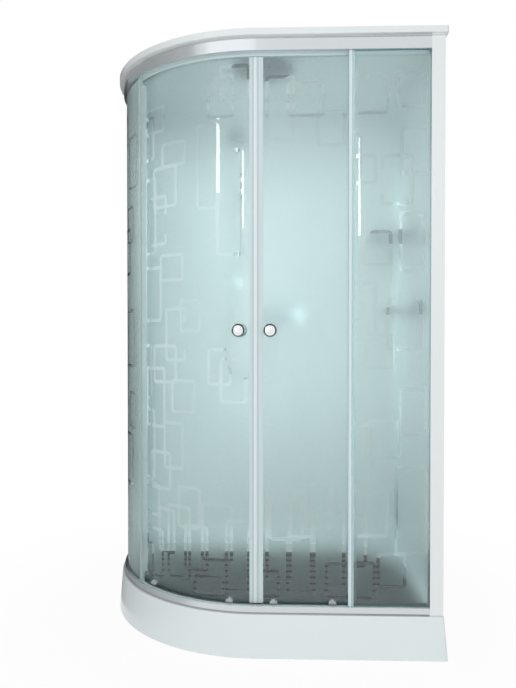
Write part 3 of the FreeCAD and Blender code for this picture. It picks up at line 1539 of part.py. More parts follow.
hose_path, hose_radii = rounded_path(hose_points)
hose_section = Part.Wire(Part.Circle(hose_top, hose_points[1] - hose_top, dim.hose_radius.number).toShape())
shower_hose = doc.addObject("Part::Feature", "shower_hose")
shower_hose.Shape = hose_path.makePipeShell([hose_section], True, False)
nodes["shower_hose"] = shower_hose
hose_volume = math.pi * dim.hose_radius.number ** 2 * hose_path.Length
print("hose length", round(hose_path.Length, 1))
print("hose bend radii", [round(radius) for radius in hose_radii])
print("hose volume share", round(shower_hose.Shape.Volume / hose_volume, 4))

# Shelves: moulded trays with a raised lip, screwed to the right wall through a rear flange
SCREW_SIDES = (-1, 1)
screw_items = []
for name, level, shelf_front, depth in (
        ("upper_shelf", dim.upper_shelf_height, dim.upper_shelf_front, dim.upper_shelf_depth),
        ("lower_shelf", dim.lower_shelf_height, dim.lower_shelf_front, dim.lower_shelf_depth)):
    shelf = new_body(name)
    shelf_back = shelf_front + dim.shelf_length
    shelf_left = wall_right - depth

    def shelf_plan(inset):
        rounding = dim.shelf_round - inset
        return [
            (wall_right - inset, shelf_front + inset),
            (wall_right - inset, shelf_back - inset),
            (shelf_left + inset + rounding, shelf_back - inset, rounding, 1),
            (shelf_left + inset, shelf_back - inset - rounding),
            (shelf_left + inset, shelf_front + inset + rounding, rounding, 1),
            (shelf_left + inset + rounding, shelf_front + inset),
        ]

    pad(shelf, draw(shelf, "body", "XY_Plane", level, [shelf_plan(as_size(0))]), dim.shelf_lip)
    pocket(
        shelf, draw(shelf, "recess", "XY_Plane", level + dim.shelf_lip, [shelf_plan(dim.shelf_wall)]),
        dim.shelf_lip - dim.shelf_plate)
    flange_plan = rectangle(wall_right - dim.shelf_wall, wall_right, shelf_front, shelf_back)
    pad(shelf, draw(shelf, "flange", "XY_Plane", level, [flange_plan]), dim.shelf_flange)
    screw_level = level + (dim.shelf_lip + dim.shelf_flange) / 2
    for side in SCREW_SIDES:
        screw_y = (shelf_front + shelf_back + dim.screw_spacing * side) / 2
        screw_items.append(cylinder(
            f"{name}_screw_{side + 1}", dim.screw_radius, dim.screw_head,
            wall_right - dim.shelf_wall - dim.screw_head, screw_y, screw_level, "x"))
group("shelf_screws", screw_items)

# Recompute, check every object and write one file per piece
doc.recompute()
faults = []
for item in doc.Objects:
    if "Invalid" in item.State or "Error" in item.State:
        faults.append(f"{item.Label}: {item.State}")
for label, item in nodes.items():
    if item.Label != label:
        faults.append(f"{label}: label is {item.Label}")
    if item.Shape.isNull() or not item.Shape.isValid() or not item.Shape.Solids:
        faults.append(f"{label}: shape")
if faults:
    raise RuntimeError("; ".join(faults))
os.makedirs("parts", exist_ok=True)
for label, item in nodes.items():
    item.Shape.exportStep(f"parts/{label}.step")
print(len(nodes), "pieces written")
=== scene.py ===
import math

import bpy
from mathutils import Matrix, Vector
from mathutils.geometry import delaunay_2d_cdt


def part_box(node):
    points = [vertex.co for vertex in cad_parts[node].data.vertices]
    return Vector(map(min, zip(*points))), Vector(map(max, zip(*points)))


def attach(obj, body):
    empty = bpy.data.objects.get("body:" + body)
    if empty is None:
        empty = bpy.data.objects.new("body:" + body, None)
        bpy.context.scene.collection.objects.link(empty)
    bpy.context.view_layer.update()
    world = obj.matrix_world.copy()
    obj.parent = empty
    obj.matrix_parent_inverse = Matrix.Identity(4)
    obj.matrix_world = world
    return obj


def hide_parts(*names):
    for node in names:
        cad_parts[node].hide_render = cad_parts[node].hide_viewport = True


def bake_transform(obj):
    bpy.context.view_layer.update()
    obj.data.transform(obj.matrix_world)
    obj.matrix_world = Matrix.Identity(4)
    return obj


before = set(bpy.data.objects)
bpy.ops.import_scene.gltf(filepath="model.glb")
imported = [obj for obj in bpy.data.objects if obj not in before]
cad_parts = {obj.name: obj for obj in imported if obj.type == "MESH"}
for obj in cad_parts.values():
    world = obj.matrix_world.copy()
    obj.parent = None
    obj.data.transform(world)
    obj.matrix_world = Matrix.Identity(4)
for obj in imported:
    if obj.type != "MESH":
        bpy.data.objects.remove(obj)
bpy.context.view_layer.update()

# Tray
# A deep white acrylic tub with a rolled rim, vacuum-formed in one piece.
# It stands over its steel frame, and its apron hides the feet and the waste pipe.


class Paint:
    """A socket in a finish's node tree; sums on it add Math nodes."""

    def __init__(self, tree, socket=None):
        self.tree = tree
        self.socket = socket

    def make(self, kind, settings=None, sockets=None, out=0):
        """Any other node: its settings go in first, then the values or links of its sockets."""
        node = self.tree.nodes.new(kind)
        for name, value in (settings or {}).items():
            setattr(node, name, value)
        self.fill(node, sockets or {})
        return Paint(self.tree, node.outputs[out])

    def fill(self, node, sockets):
        """Links or values for the sockets of a node that exists."""
        for name, value in sockets.items():
            if isinstance(value, Paint):
                self.tree.links.new(value.socket, node.inputs[name])
            else:
                node.inputs[name].default_value = value

    def maths(self, operation, *terms):
        return self.make("ShaderNodeMath", {"operation": operation}, dict(enumerate(terms)))

    def __add__(self, other):
        return self.maths("ADD", self, other)

    def __radd__(self, other):
        return self.maths("ADD", other, self)

    def __sub__(self, other):
        return self.maths("SUBTRACT", self, other)

    def __rsub__(self, other):
        return self.maths("SUBTRACT", other, self)

    def __mul__(self, other):
        return self.maths("MULTIPLY", self, other)

    def limit(self, low, high):
        """0 below low, 1 above high, and a straight slope between."""
        return self.make("ShaderNodeMapRange", {"clamp": True}, {"Value": self, 1: low, 2: high})

    def spot(self, stretch=(1, 1, 1)):
        """Places on the piece in metres, stretched along the axes."""
        places = self.make("ShaderNodeTexCoord", out="Object")
        return self.make("ShaderNodeVectorMath", {"operation": "MULTIPLY"}, {0: places, 1: stretch})

    def coordinate(self, axis):
        """The place along one axis in metres."""
        return self.make("ShaderNodeSeparateXYZ", None, {0: self.spot()}, out=axis)

    def grain(self, scale, detail=2, stretch=(1, 1, 1)):
        """Soft noise over the piece, about 0 to 1."""
        return self.make(
            "ShaderNodeTexNoise", None, {"Vector": self.spot(stretch), "Scale": scale, "Detail": detail})

    def blend(self, first, second, share):
        """A colour between two colours."""
        return self.make("ShaderNodeMix", {"data_type": "RGBA"}, {0: share, 6: first, 7: second}, out=2)

    def bump(self, height, depth, strength=1.0):
        """A normal from a height; depth is the relief in metres."""
        return self.make(
            "ShaderNodeBump", None, {"Height": height, "Distance": depth, "Strength": strength})

    def rays(self, *kinds):
        """1 on rays of the named kinds and 0 on all others."""
        found = [self.make("ShaderNodeLightPath", out=f"Is {kind} Ray") for kind in kinds]
        return sum(found).limit(0, 1)

    def surface(self, sockets):
        """Fills the finish's own shader."""
        self.fill(self.tree.nodes["Principled BSDF"], sockets)

    def colour(self):
        """The colour that the finish has so far."""
        own = self.tree.nodes["Principled BSDF"]
        return Paint(self.tree, own.inputs["Base Color"].links[0].from_socket)

    def cover(self, shader, share):
        """Lays another shader over the finish's own."""
        own = Paint(self.tree, self.tree.nodes["Principled BSDF"].outputs[0])
        both = self.make("ShaderNodeMixShader", None, {0: share, 1: own, 2: shader})
        self.fill(self.tree.nodes["Material Output"], {"Surface": both})


def new_finish(name):
    """A new material and the paint of its nodes."""
    material = bpy.data.materials.new(name)
    material.use_nodes = True
    return material, Paint(material.node_tree)


def dress(material, *names):
    """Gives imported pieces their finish."""
    for name in names:
        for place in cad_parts[name].material_slots:
            place.material = material


def white_acrylic(name, colour, shade, roughness):
    """Gloss moulded acrylic: a faint cloudiness in the colour and a slight ripple in the gloss."""
    material, paint = new_finish(name)
    cloud = paint.grain(2.5, 3)
    ripple = paint.grain(38, 2)
    paint.surface({
        "Base Color": paint.blend((*shade, 1), (*colour, 1), cloud.limit(0.3, 0.7)),
        "Roughness": roughness + ripple * 0.08,
        "Normal": paint.bump(ripple, 0.0006, 0.25),
        "Coat Weight": 0.25,
        "Coat Roughness": 0.06,
    })
    return material


tray_white = white_acrylic("tray_white_acrylic", (0.83, 0.905, 0.915), (0.81, 0.885, 0.895), 0.16)
dress(tray_white, "tray")

# Steel frame, feet and lock nuts
# A welded ladder of square tube with a grey powder coat carries the basin.
# Each foot is a black pad on a zinc stud, held by a hexagon nut.
coat, paint = new_finish("grey_powder_coat")
orange_peel = paint.grain(260, 2)
paint.surface({
    "Base Color": paint.blend((0.26, 0.28, 0.29, 1), (0.33, 0.35, 0.36, 1), paint.grain(14, 3)),
    "Roughness": 0.42 + orange_peel * 0.2,
    "Normal": paint.bump(orange_peel, 0.0004, 0.5),
})
dress(coat, "tray_frame")
PAD_TOP = 0.009
PAD_BLUR = 0.0002
foot_finish, paint = new_finish("black_pad_on_zinc_stud")
stud = paint.coordinate(2).limit(PAD_TOP - PAD_BLUR, PAD_TOP + PAD_BLUR)
pad_black = paint.blend((0.045, 0.045, 0.048, 1), (0.075, 0.075, 0.08, 1), paint.grain(60, 3))
thread = paint.make(
    "ShaderNodeTexWave", {"bands_direction": "Z"}, {"Vector": paint.spot(), "Scale": 210.0}, out=1)
paint.surface({
    "Base Color": paint.blend(pad_black, (0.60, 0.61, 0.62, 1), stud),
    "Metallic": stud,
    "Roughness": 0.5 + paint.grain(220, 2) * 0.2 - stud * 0.25,
    "Normal": paint.bump(thread * stud, 0.001, 0.8),
})
dress(foot_finish, "levelling_feet")


def mottled(name, dark, light, blots, roughness, grain, uneven, metallic=0.0, detail=3):
    """A plain finish: soft blots between two near tones, and a fine unevenness in the gloss."""
    material, paint = new_finish(name)
    paint.surface({
        "Base Color": paint.blend((*dark, 1), (*light, 1), paint.grain(blots, detail)),
        "Metallic": metallic,
        "Roughness": roughness + paint.grain(grain, 2) * uneven,
    })
    return material


zinc = mottled("bright_zinc", (0.56, 0.57, 0.60), (0.68, 0.67, 0.62), 90, 0.25, 300, 0.2, metallic=1.0)
dress(zinc, "foot_nuts")

# Floor grate
# A dark grey slatted insert, injection-moulded with a fine non-slip grain.
# It lies loose in the basin on three bearers.
grate_grey, paint = new_finish("dark_slat_plastic")
pebble = paint.grain(520, 2)
worn = paint.grain(5, 4)
paint.surface({
    "Base Color": paint.blend((0.030, 0.036, 0.039, 1), (0.054, 0.062, 0.066, 1), worn.limit(0.35, 0.65)),
    "Roughness": 0.46 + pebble * 0.16,
    "Normal": paint.bump(pebble, 0.0005, 0.6),
})
dress(grate_grey, "floor_grate")

# Drain
# A chromed flange in the basin's hole with a lift-off domed cap.
# Below it hangs the grey trap with its waste pipe.


def chrome(name, colour, roughness, speck=0.05):
    """Polished plating: nearly even, with faint wipe marks in the gloss."""
    material, paint = new_finish(name)
    wipe = paint.grain(22, 4, (1, 1, 3))
    paint.surface({
        "Base Color": paint.blend((*[c * 0.94 for c in colour], 1), (*colour, 1), wipe),
        "Metallic": 1.0,
        "Roughness": roughness + wipe.limit(0.4, 0.8) * speck,
    })
    return material


fitting_chrome = chrome("polished_chrome", (0.80, 0.82, 0.83), 0.07)
dress(fitting_chrome, "drain_flange", "drain_cap")
trap_grey = mottled("grey_trap_plastic", (0.50, 0.51, 0.52), (0.58, 0.59, 0.60), 18, 0.45, 180, 0.15)
dress(trap_grey, "drain_trap")

# Wall panels
# Flat white boards with a gloss face close the back and the right side.
# They stand on the tray's rim and are joined by a strip and a corner post.
wall_white = white_acrylic("wall_gloss_white", (0.91, 0.945, 0.945), (0.895, 0.93, 0.93), 0.20)
dress(wall_white, "back_wall", "right_wall_front", "right_wall_rear")

# Uprights and rails
# Bright anodised aluminium, extruded and for the rails also bent round the quadrant.
# The draw marks run along each length. The bottom rail's inner half is painted dark as painted shade.
BEND_X, BEND_Y = -0.032, 0.118
PLAN_RADIUS = 0.568
ANODISED = 0.9
PAINTED_SHADE_INSET = 0.0366
PAINTED_SHADE_BLUR = 0.0006


def drawn_aluminium(name, colour, stretch, roughness):
    """Anodised metal with fine draw marks; stretch sets how close they lie along each axis."""
    material, paint = new_finish(name)
    marks = paint.grain(1.0, 3, stretch)
    paint.surface({
        "Base Color": paint.blend((*[c * 0.95 for c in colour], 1), (*colour, 1), marks),
        "Metallic": ANODISED,
        "Roughness": roughness + marks * 0.1,
        "Normal": paint.bump(marks, 0.0001, 0.2),
    })
    return material


profile_silver = drawn_aluminium("upright_aluminium", (0.80, 0.84, 0.85), (420, 420, 3), 0.24)
dress(profile_silver, "wall_joint_strip", "corner_post", "left_wall_profile", "right_wall_profile")
rail_silver = drawn_aluminium("rail_aluminium", (0.66, 0.70, 0.72), (4, 4, 480), 0.12)
dress(rail_silver, "top_rail")
low_rail = drawn_aluminium("low_rail_aluminium", (0.66, 0.70, 0.72), (4, 4, 480), 0.14)
# The rail's inner half, behind the panes, is painted near black and less metallic: painted shade.
paint = Paint(low_rail.node_tree)
past_x, past_y = [
    paint.maths("MINIMUM", paint.coordinate(axis) - middle, 0)
    for axis, middle in enumerate((BEND_X, BEND_Y))]
reach = paint.maths("SQRT", past_x * past_x + past_y * past_y)
inner_shade = (PLAN_RADIUS - reach).limit(PAINTED_SHADE_INSET, PAINTED_SHADE_INSET + PAINTED_SHADE_BLUR)
paint.surface({
    "Base Color": paint.blend(paint.colour(), (0.07, 0.08, 0.085, 1), inner_shade),
    "Metallic": ANODISED - inner_shade * ANODISED,
})
dress(low_rail, "bottom_rail")

# Grey bead under the bottom rail
# A grey strip lies on the tray's rim at the rail's outer foot and gives a thin dark line between them.
# It is one length from the right upright round to the left side.
FRONT_Y = -0.450
LEFT_X = -0.600
LINE_RADIUS = 0.525
BEND_STEPS = 36


def bend(degrees):
    """The length along the front that a turn of the bend takes."""
    return LINE_RADIUS * math.radians(degrees)


QUARTER = bend(90)
BEND_STEP = bend(2.5)
STRIP_RIGHT = -0.572
STRIP_LEFT = QUARTER + 0.285


def along_front(length, inset):
    """The place and the outward direction at a length to the left of the doors' seam."""
    if length < 0:
        return Vector((BEND_X - length, FRONT_Y + inset)), Vector((0, -1))
    if length > QUARTER:
        return Vector((LEFT_X + inset, BEND_Y + length - QUARTER)), Vector((-1, 0))
    turn = length / LINE_RADIUS
    outward = Vector((-math.sin(turn), -math.cos(turn)))
    return Vector((BEND_X, BEND_Y)) + outward * (PLAN_RADIUS - inset), outward


def add_piece(name, points, faces, material, smooth=True):
    """A new mesh in the scene with one finish."""
    mesh = bpy.data.meshes.new(name)
    mesh.from_pydata(points, [], faces)
    mesh.materials.append(material)
    mesh.polygons.foreach_set("use_smooth", [smooth] * len(faces))
    piece = bpy.data.objects.new(name, mesh)
    bpy.context.scene.collection.objects.link(piece)
    return piece


def closed_tube(first, rings, count):
    """Faces over rings of count points each, numbered from first, with a cap on both ends."""
    last = first + (rings - 1) * count
    faces = []
    for start in range(first, last, count):
        for step in range(count):
            a, b = start + step, start + (step + 1) % count
            faces.append((a, b, b + count, a + count))
    return [*faces, tuple(range(first + count - 1, first - 1, -1)), tuple(range(last, last + count))]


def soft_strip(name, start, end, outline, material):
    """A closed strip along the front; its outline is a ring of (inset, height) points."""
    turns = [step * BEND_STEP for step in range(BEND_STEPS + 1) if start < step * BEND_STEP < end]
    points = []
    for length in [start, *turns, end]:
        for inset, height in outline:
            spot = along_front(length, inset)[0]
            points.append((spot.x, spot.y, height))
    strip = add_piece(name, points, closed_tube(0, len(turns) + 2, len(outline)), material)
    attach(strip, "cabin")


bead_grey = mottled("grey_soft_bead", (0.40, 0.43, 0.44), (0.48, 0.51, 0.52), 70, 0.55, 240, 0.2)
soft_strip("sill_bead", STRIP_RIGHT, STRIP_LEFT, [
    (0.0199, 0.1452), (0.0152, 0.1452), (0.0147, 0.1458), (0.0152, 0.1468), (0.0178, 0.1482),
    (0.0199, 0.1484),
], bead_grey)

# Glass
# Four panes of 5 mm safety glass, frosted by etching the outer face.
# Rounded outlines are masked before the etch, so they stay clear; the edges are ground.
GLASS_THICK = 0.005
FIXED_INSET = 0.031
DOOR_INSET = 0.052
LINE_WIDTH = 0.012
LINE_CORNER = 0.016
CORNER_STEPS = 4
TINY = 1e-7
MERGED = 1e-6
NEAR = 1e-4


def glass_finish(name, tint, clarity, roughness, grain_depth):
    """Glass that lets the room's light in; clarity is the share that goes through."""
    material, paint = new_finish(name)
    etch = paint.grain(900, 2)
    paint.surface({
        "Base Color": paint.blend((*tint, 1), (*[0.5 + 0.5 * c for c in tint], 1), etch.limit(0.62, 0.8)),
        "Roughness": roughness + etch.limit(0.45, 0.65) * grain_depth,
        "Transmission Weight": clarity,
        "IOR": 1.5,
    })
    clear = paint.make("ShaderNodeBsdfTransparent", None, {"Color": (*[0.9 + 0.1 * c for c in tint], 1)})
    paint.cover(clear, paint.rays("Shadow", "Diffuse"))
    return material


frosted = glass_finish("etched_glass", (0.722, 0.917, 0.924), 0.97, 0.27, 0.18)
clear_line = glass_finish("clear_glass", (0.82, 0.95, 0.945), 1.0, 0.0, 0.012)
ground_edge = glass_finish("ground_edge_glass", (0.45, 0.72, 0.68), 0.7, 0.36, 0.08)


def round_loop(low_s, low_z, wide, high, radius):
    """Points round a rectangle with rounded corners."""
    points = []
    for quarter, (x, z) in enumerate((
            (low_s + wide - radius, low_z + high - radius), (low_s + radius, low_z + high - radius),
            (low_s + radius, low_z + radius), (low_s + wide - radius, low_z + radius))):
        for step in range(CORNER_STEPS + 1):
            turn = math.radians(90 * (quarter + step / CORNER_STEPS))
            points.append((x + radius * math.cos(turn), z + radius * math.sin(turn)))
    return points


def in_round(s, z, shape, shrink):
    """Whether a spot lies in an outline that is drawn in by shrink."""
    low_s, low_z, wide, high = shape[:4]
    radius = LINE_CORNER - shrink
    x = max(abs(s - low_s - wide / 2) - wide / 2 + shrink + radius, 0)
    y = max(abs(z - low_z - high / 2) - high / 2 + shrink + radius, 0)
    return math.hypot(x, y) < radius


def on_line(s, z, outlines):
    """Whether a spot lies on a clear outline; an outline may be left open in a gap."""
    for shape in outlines:
        if in_round(s, z, shape, 0) and not in_round(s, z, shape, LINE_WIDTH):
            gap = shape[4] if len(shape) > 4 else None
            if gap is None or not (gap[0] < s < gap[2] and gap[1] < z < gap[3]):
                return True
    return False


def etched_pane(name, node, inset, low_s, high_s, outlines):
    """A closed slab in the pane's place, its outer face parted into etched and clear fields."""
    low_z, high_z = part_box(node)[0].z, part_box(node)[1].z
    spots, ties = [], []

    def chain(points, closed):
        first = len(spots)
        spots.extend(
            Vector((min(max(s, low_s), high_s), min(max(z, low_z), high_z))) for s, z in points)
        count = len(points)
        for index in range(count if closed else count - 1):
            start, end = first + index, first + (index + 1) % count
            if (spots[start] - spots[end]).length > TINY:
                ties.append((start, end))

    chain([(low_s, low_z), (high_s, low_z), (high_s, high_z), (low_s, high_z)], True)
    turns = [step * BEND_STEP for step in range(BEND_STEPS + 2)]
    stations = [low_s, *[turn for turn in turns if low_s + NEAR < turn < high_s - NEAR], high_s]
    for station in stations[1:-1]:
        chain([(station, low_z), (station, high_z)], False)
    for shape in outlines:
        chain(round_loop(*shape[:4], LINE_CORNER), True)
        inner = (shape[0] + LINE_WIDTH, shape[1] + LINE_WIDTH,
                 shape[2] - 2 * LINE_WIDTH, shape[3] - 2 * LINE_WIDTH)
        chain(round_loop(*inner, LINE_CORNER - LINE_WIDTH), True)
        if len(shape) > 4:
            s0, z0, s1, z1 = shape[4]
            chain([(s0, z0), (s1, z0), (s1, z1), (s0, z1)], True)
    flat, _, parts = delaunay_2d_cdt(spots, ties, [], 0, MERGED)[:3]

    points, normals, faces, kinds = [], [], [], []

    def put(s, z, depth, facing):
        place, outward = along_front(s, inset + depth)
        points.append((place.x, place.y, z))
        normals.append(facing if facing else Vector((outward.x, outward.y, 0)) * (-1 if depth else 1))
        return len(points) - 1

    def close(corners, kind, facing):
        a, b, c = [Vector(points[corner]) for corner in corners[:3]]
        if (b - a).cross(c - a).dot(facing) < 0:
            corners = corners[::-1]
        faces.append(corners)
        kinds.append(kind)

    front = [put(spot.x, spot.y, 0, None) for spot in flat]
    for part in parts:
        middle = sum((flat[corner] for corner in part), Vector((0, 0))) / len(part)
        clear = on_line(middle.x, middle.y, outlines)
        close([front[corner] for corner in part], 1 if clear else 0, normals[front[part[0]]])
    for start, end in zip(stations, stations[1:]):
        rear = [
            put(s, z, GLASS_THICK, None)
            for s, z in ((start, low_z), (end, low_z), (end, high_z), (start, high_z))]
        close(rear, 1, normals[rear[0]])
        for level, facing in ((low_z, Vector((0, 0, -1))), (high_z, Vector((0, 0, 1)))):
            rim = [
                put(s, level, depth, facing)
                for s, depth in ((start, 0), (end, 0), (end, GLASS_THICK), (start, GLASS_THICK))]
            close(rim, 2, facing)
    for end, other in ((low_s, stations[1]), (high_s, stations[-2])):
        here, there = along_front(end, inset)[0], along_front(other, inset)[0]
        facing = (here - there).normalized().to_3d()
        rim = [
            put(end, z, depth, facing)
            for z, depth in ((low_z, 0), (high_z, 0), (high_z, GLASS_THICK), (low_z, GLASS_THICK))]
        close(rim, 2, facing)

    mesh = bpy.data.meshes.new(name)
    mesh.from_pydata(points, [], faces)
    for material in (frosted, clear_line, ground_edge):
        mesh.materials.append(material)
    mesh.polygons.foreach_set("material_index", kinds)
    mesh.polygons.foreach_set("use_smooth", [True] * len(faces))
    mesh.normals_split_custom_set_from_vertices(normals)
    pane = bpy.data.objects.new(name, mesh)
    bpy.context.scene.collection.objects.link(pane)
    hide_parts(node)
    return pane


LEFT_FIXED_LINES = [
    (0.520, 1.62, 0.10, 0.20), (0.600, 1.30, 0.12, 0.18), (0.560, 1.42, 0.09, 0.14),
    (0.720, 1.50, 0.11, 0.16), (0.550, 0.95, 0.10, 0.22), (0.660, 0.80, 0.13, 0.16),
    (0.800, 1.10, 0.12, 0.18), (0.900, 1.40, 0.12, 0.20), (0.980, 0.90, 0.10, 0.20),
    (0.570, 0.50, 0.12, 0.20), (0.690, 0.35, 0.10, 0.22), (0.820, 0.50, 0.12, 0.16),
    (0.930, 0.30, 0.12, 0.22), (0.620, 0.20, 0.10, 0.12), (1.000, 0.60, 0.10, 0.15),
    (0.850, 1.75, 0.12, 0.14), (0.650, 1.80, 0.10, 0.12), (0.540, 0.72, 0.08, 0.14),
]
RIGHT_FIXED_LINES = [
    (-0.575, 1.60, 0.10, 0.16), (-0.520, 1.50, 0.11, 0.17, (-0.45, 1.54, -0.40, 1.62)),
    (-0.450, 1.30, 0.10, 0.12), (-0.560, 1.28, 0.09, 0.20), (-0.400, 1.57, 0.11, 0.10),
    (-0.550, 1.02, 0.12, 0.18, (-0.53, 1.15, -0.46, 1.22)), (-0.460, 0.96, 0.10, 0.12),
    (-0.400, 1.05, 0.09, 0.20), (-0.570, 0.74, 0.10, 0.16), (-0.480, 0.66, 0.12, 0.13),
    (-0.390, 0.58, 0.10, 0.20), (-0.440, 0.40, 0.12, 0.16), (-0.570, 0.34, 0.11, 0.30),
    (-0.370, 0.30, 0.11, 0.18), (-0.500, 0.23, 0.10, 0.12), (-0.400, 0.19, 0.13, 0.13),
    (-0.440, 1.80, 0.12, 0.13), (-0.560, 1.82, 0.10, 0.12), (-0.350, 1.12, 0.06, 0.62),
]
LEFT_DOOR_LINES = [
    (0.020, 1.86, 0.11, 0.12), (0.075, 1.80, 0.10, 0.15), (0.360, 1.79, 0.12, 0.10),
    (0.420, 1.70, 0.08, 0.16), (0.043, 1.34, 0.10, 0.36), (0.128, 1.50, 0.09, 0.29),
    (0.300, 1.52, 0.13, 0.15), (0.350, 1.39, 0.11, 0.18, (0.33, 1.43, 0.37, 1.50)),
    (0.270, 1.26, 0.12, 0.10), (0.410, 1.36, 0.08, 0.28), (0.380, 1.12, 0.11, 0.20),
    (0.260, 0.98, 0.10, 0.19, (0.25, 1.02, 0.28, 1.12)), (0.300, 0.90, 0.13, 0.14),
    (0.360, 0.74, 0.12, 0.22), (0.220, 0.80, 0.11, 0.12), (0.270, 0.60, 0.10, 0.17),
    (0.330, 0.52, 0.12, 0.14), (0.420, 0.55, 0.07, 0.26), (0.080, 0.30, 0.12, 0.20),
    (0.170, 0.26, 0.10, 0.16), (0.240, 0.22, 0.11, 0.26), (0.310, 0.30, 0.09, 0.16),
    (0.370, 0.20, 0.11, 0.18), (0.020, 0.20, 0.09, 0.25), (0.110, 0.18, 0.12, 0.07),
    (0.430, 0.19, 0.07, 0.13), (0.030, 0.84, 0.10, 0.16, (0.02, 0.93, 0.06, 1.01)),
    (0.085, 0.90, 0.09, 0.13), (0.200, 1.08, 0.09, 0.12), (0.440, 0.84, 0.06, 0.20),
    (0.200, 0.40, 0.10, 0.15), (0.390, 0.42, 0.10, 0.12), (0.260, 1.66, 0.12, 0.09),
]
RIGHT_DOOR_LINES = [
    (-0.130, 1.72, 0.10, 0.22), (-0.230, 1.80, 0.13, 0.12), (-0.300, 1.70, 0.10, 0.13),
    (-0.120, 0.24, 0.09, 0.30), (-0.200, 0.20, 0.10, 0.20), (-0.160, 0.38, 0.12, 0.14),
    (-0.300, 0.22, 0.12, 0.26), (-0.260, 0.42, 0.10, 0.16), (-0.080, 0.185, 0.11, 0.10),
    (-0.330, 0.19, 0.10, 0.12),
]
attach(etched_pane(
    "left_fixed_pane", "left_fixed_glass", FIXED_INSET, bend(53), QUARTER + 0.292, LEFT_FIXED_LINES), "cabin")
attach(etched_pane(
    "right_fixed_pane", "right_fixed_glass", FIXED_INSET, -0.585, -0.31602, RIGHT_FIXED_LINES), "cabin")
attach(etched_pane(
    "left_door_pane", "left_door_glass", DOOR_INSET, bend(1.5545), bend(55), LEFT_DOOR_LINES), "left_door")
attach(etched_pane(
    "right_door_pane", "right_door_glass", DOOR_INSET, -0.33702, -0.014, RIGHT_DOOR_LINES), "right_door")

# Seals and door stops
# Milky soft vinyl clipped on the panes' edges, and black rubber blocks in the top rail.
# Fine grey lines run down them as painted shade where the lips and the pane's edge show through; a white band
# on the door seals is a painted highlight.
EDGE_SHADE_GREY = (0.46, 0.56, 0.57, 1)
HIGHLIGHT_WHITE = (0.86, 0.94, 0.965, 1)
THIN_BLUR = 0.0006
THIN_CLARITY = 0.6


def milky_vinyl(name, lines, milk=(0.70, 0.84, 0.855), bright=None, thin=None):
    """Translucent soft plastic with grey lines of painted shade and a white painted highlight at their X
    places, clearer past thin.
    """
    material, paint = new_finish(name)
    across = paint.coordinate(0)
    colour = paint.blend((*[c * 0.95 for c in milk], 1), (*milk, 1), paint.grain(30, 3, (1, 1, 0.05)))
    # Grey bands are painted shade at the lips and the pane's edge; the bright band is a painted highlight.
    bands = [(place, half, EDGE_SHADE_GREY) for place, half in lines]
    if bright:
        bands.append((*bright, HIGHLIGHT_WHITE))
    for place, half, shade in bands:
        away = paint.maths("ABSOLUTE", across - place)
        colour = paint.blend(shade, colour, away.limit(half * 0.5, half))
    paint.surface({
        "Base Color": colour,
        "Roughness": 0.30 + paint.grain(120, 2) * 0.12,
        "Transmission Weight": 0.15,
    })
    if thin:
        paint.surface({"Alpha": 1 - across.limit(thin - THIN_BLUR, thin + THIN_BLUR) * THIN_CLARITY})
    return material


dress(milky_vinyl(
    "milky_vinyl_left_door", [(-0.043, 0.0022)], bright=(-0.0360, 0.0060)), "left_door_seal")
dress(milky_vinyl(
    "milky_vinyl_right_door", [(-0.0265, 0.0022)], bright=(-0.0320, 0.0040)), "right_door_seal")
dress(milky_vinyl(
    "milky_vinyl_right", [(0.2945, 0.0022)], (0.79, 0.925, 0.955), thin=0.2845), "right_fixed_seal")
dress(milky_vinyl("milky_vinyl_left", [(-0.438, 0.0020)], thin=-0.6), "left_fixed_seal")
soft_strip("top_wiper", STRIP_RIGHT, STRIP_LEFT, [
    (0.0367, 2.0108), (0.0466, 2.0108), (0.0465, 2.0040), (0.0462, 2.0005), (0.0455, 2.0005),
    (0.0450, 2.0040), (0.0440, 2.0088), (0.0367, 2.0093),
], milky_vinyl("milky_vinyl_wiper", []))
for place, low, high in (("top", 2.0093, 2.0128), ("bottom", 0.1668, 0.1686)):
    soft_strip(f"{place}_slot_filler", -0.3155, bend(52.9), [
        (0.0307, low), (0.0363, low), (0.0363, high), (0.0307, high),
    ], milky_vinyl(f"milky_vinyl_{place}_filler", []))
rubber = mottled("black_stop_rubber", (0.03, 0.03, 0.03), (0.06, 0.06, 0.06), 80, 0.7, 200, 0.15)
dress(rubber, "door_stops")

# Door rollers and guides
# Nylon wheels on chromed hangers run in the top rail and carry the doors.
# Clear moulded clips at the foot keep the panes on the bottom rail.
hanger_chrome = chrome("hanger_chrome", (0.72, 0.74, 0.76), 0.12)
dress(hanger_chrome, "left_door_hangers", "right_door_hangers")
nylon = mottled("white_nylon", (0.70, 0.71, 0.69), (0.78, 0.79, 0.78), 120, 0.38, 300, 0.12)
dress(nylon, "left_front_wheel", "left_rear_wheel", "right_front_wheel", "right_rear_wheel")
clip_clear, paint = new_finish("clear_clip_plastic")
paint.surface({
    "Base Color": paint.blend((0.80, 0.84, 0.84, 1), (0.88, 0.92, 0.92, 1), paint.grain(90, 2)),
    "Roughness": 0.10 + paint.grain(160, 2) * 0.12,
    "Transmission Weight": 0.5,
    "IOR": 1.49,
})
dress(clip_clear, "left_door_guides", "right_door_guides")
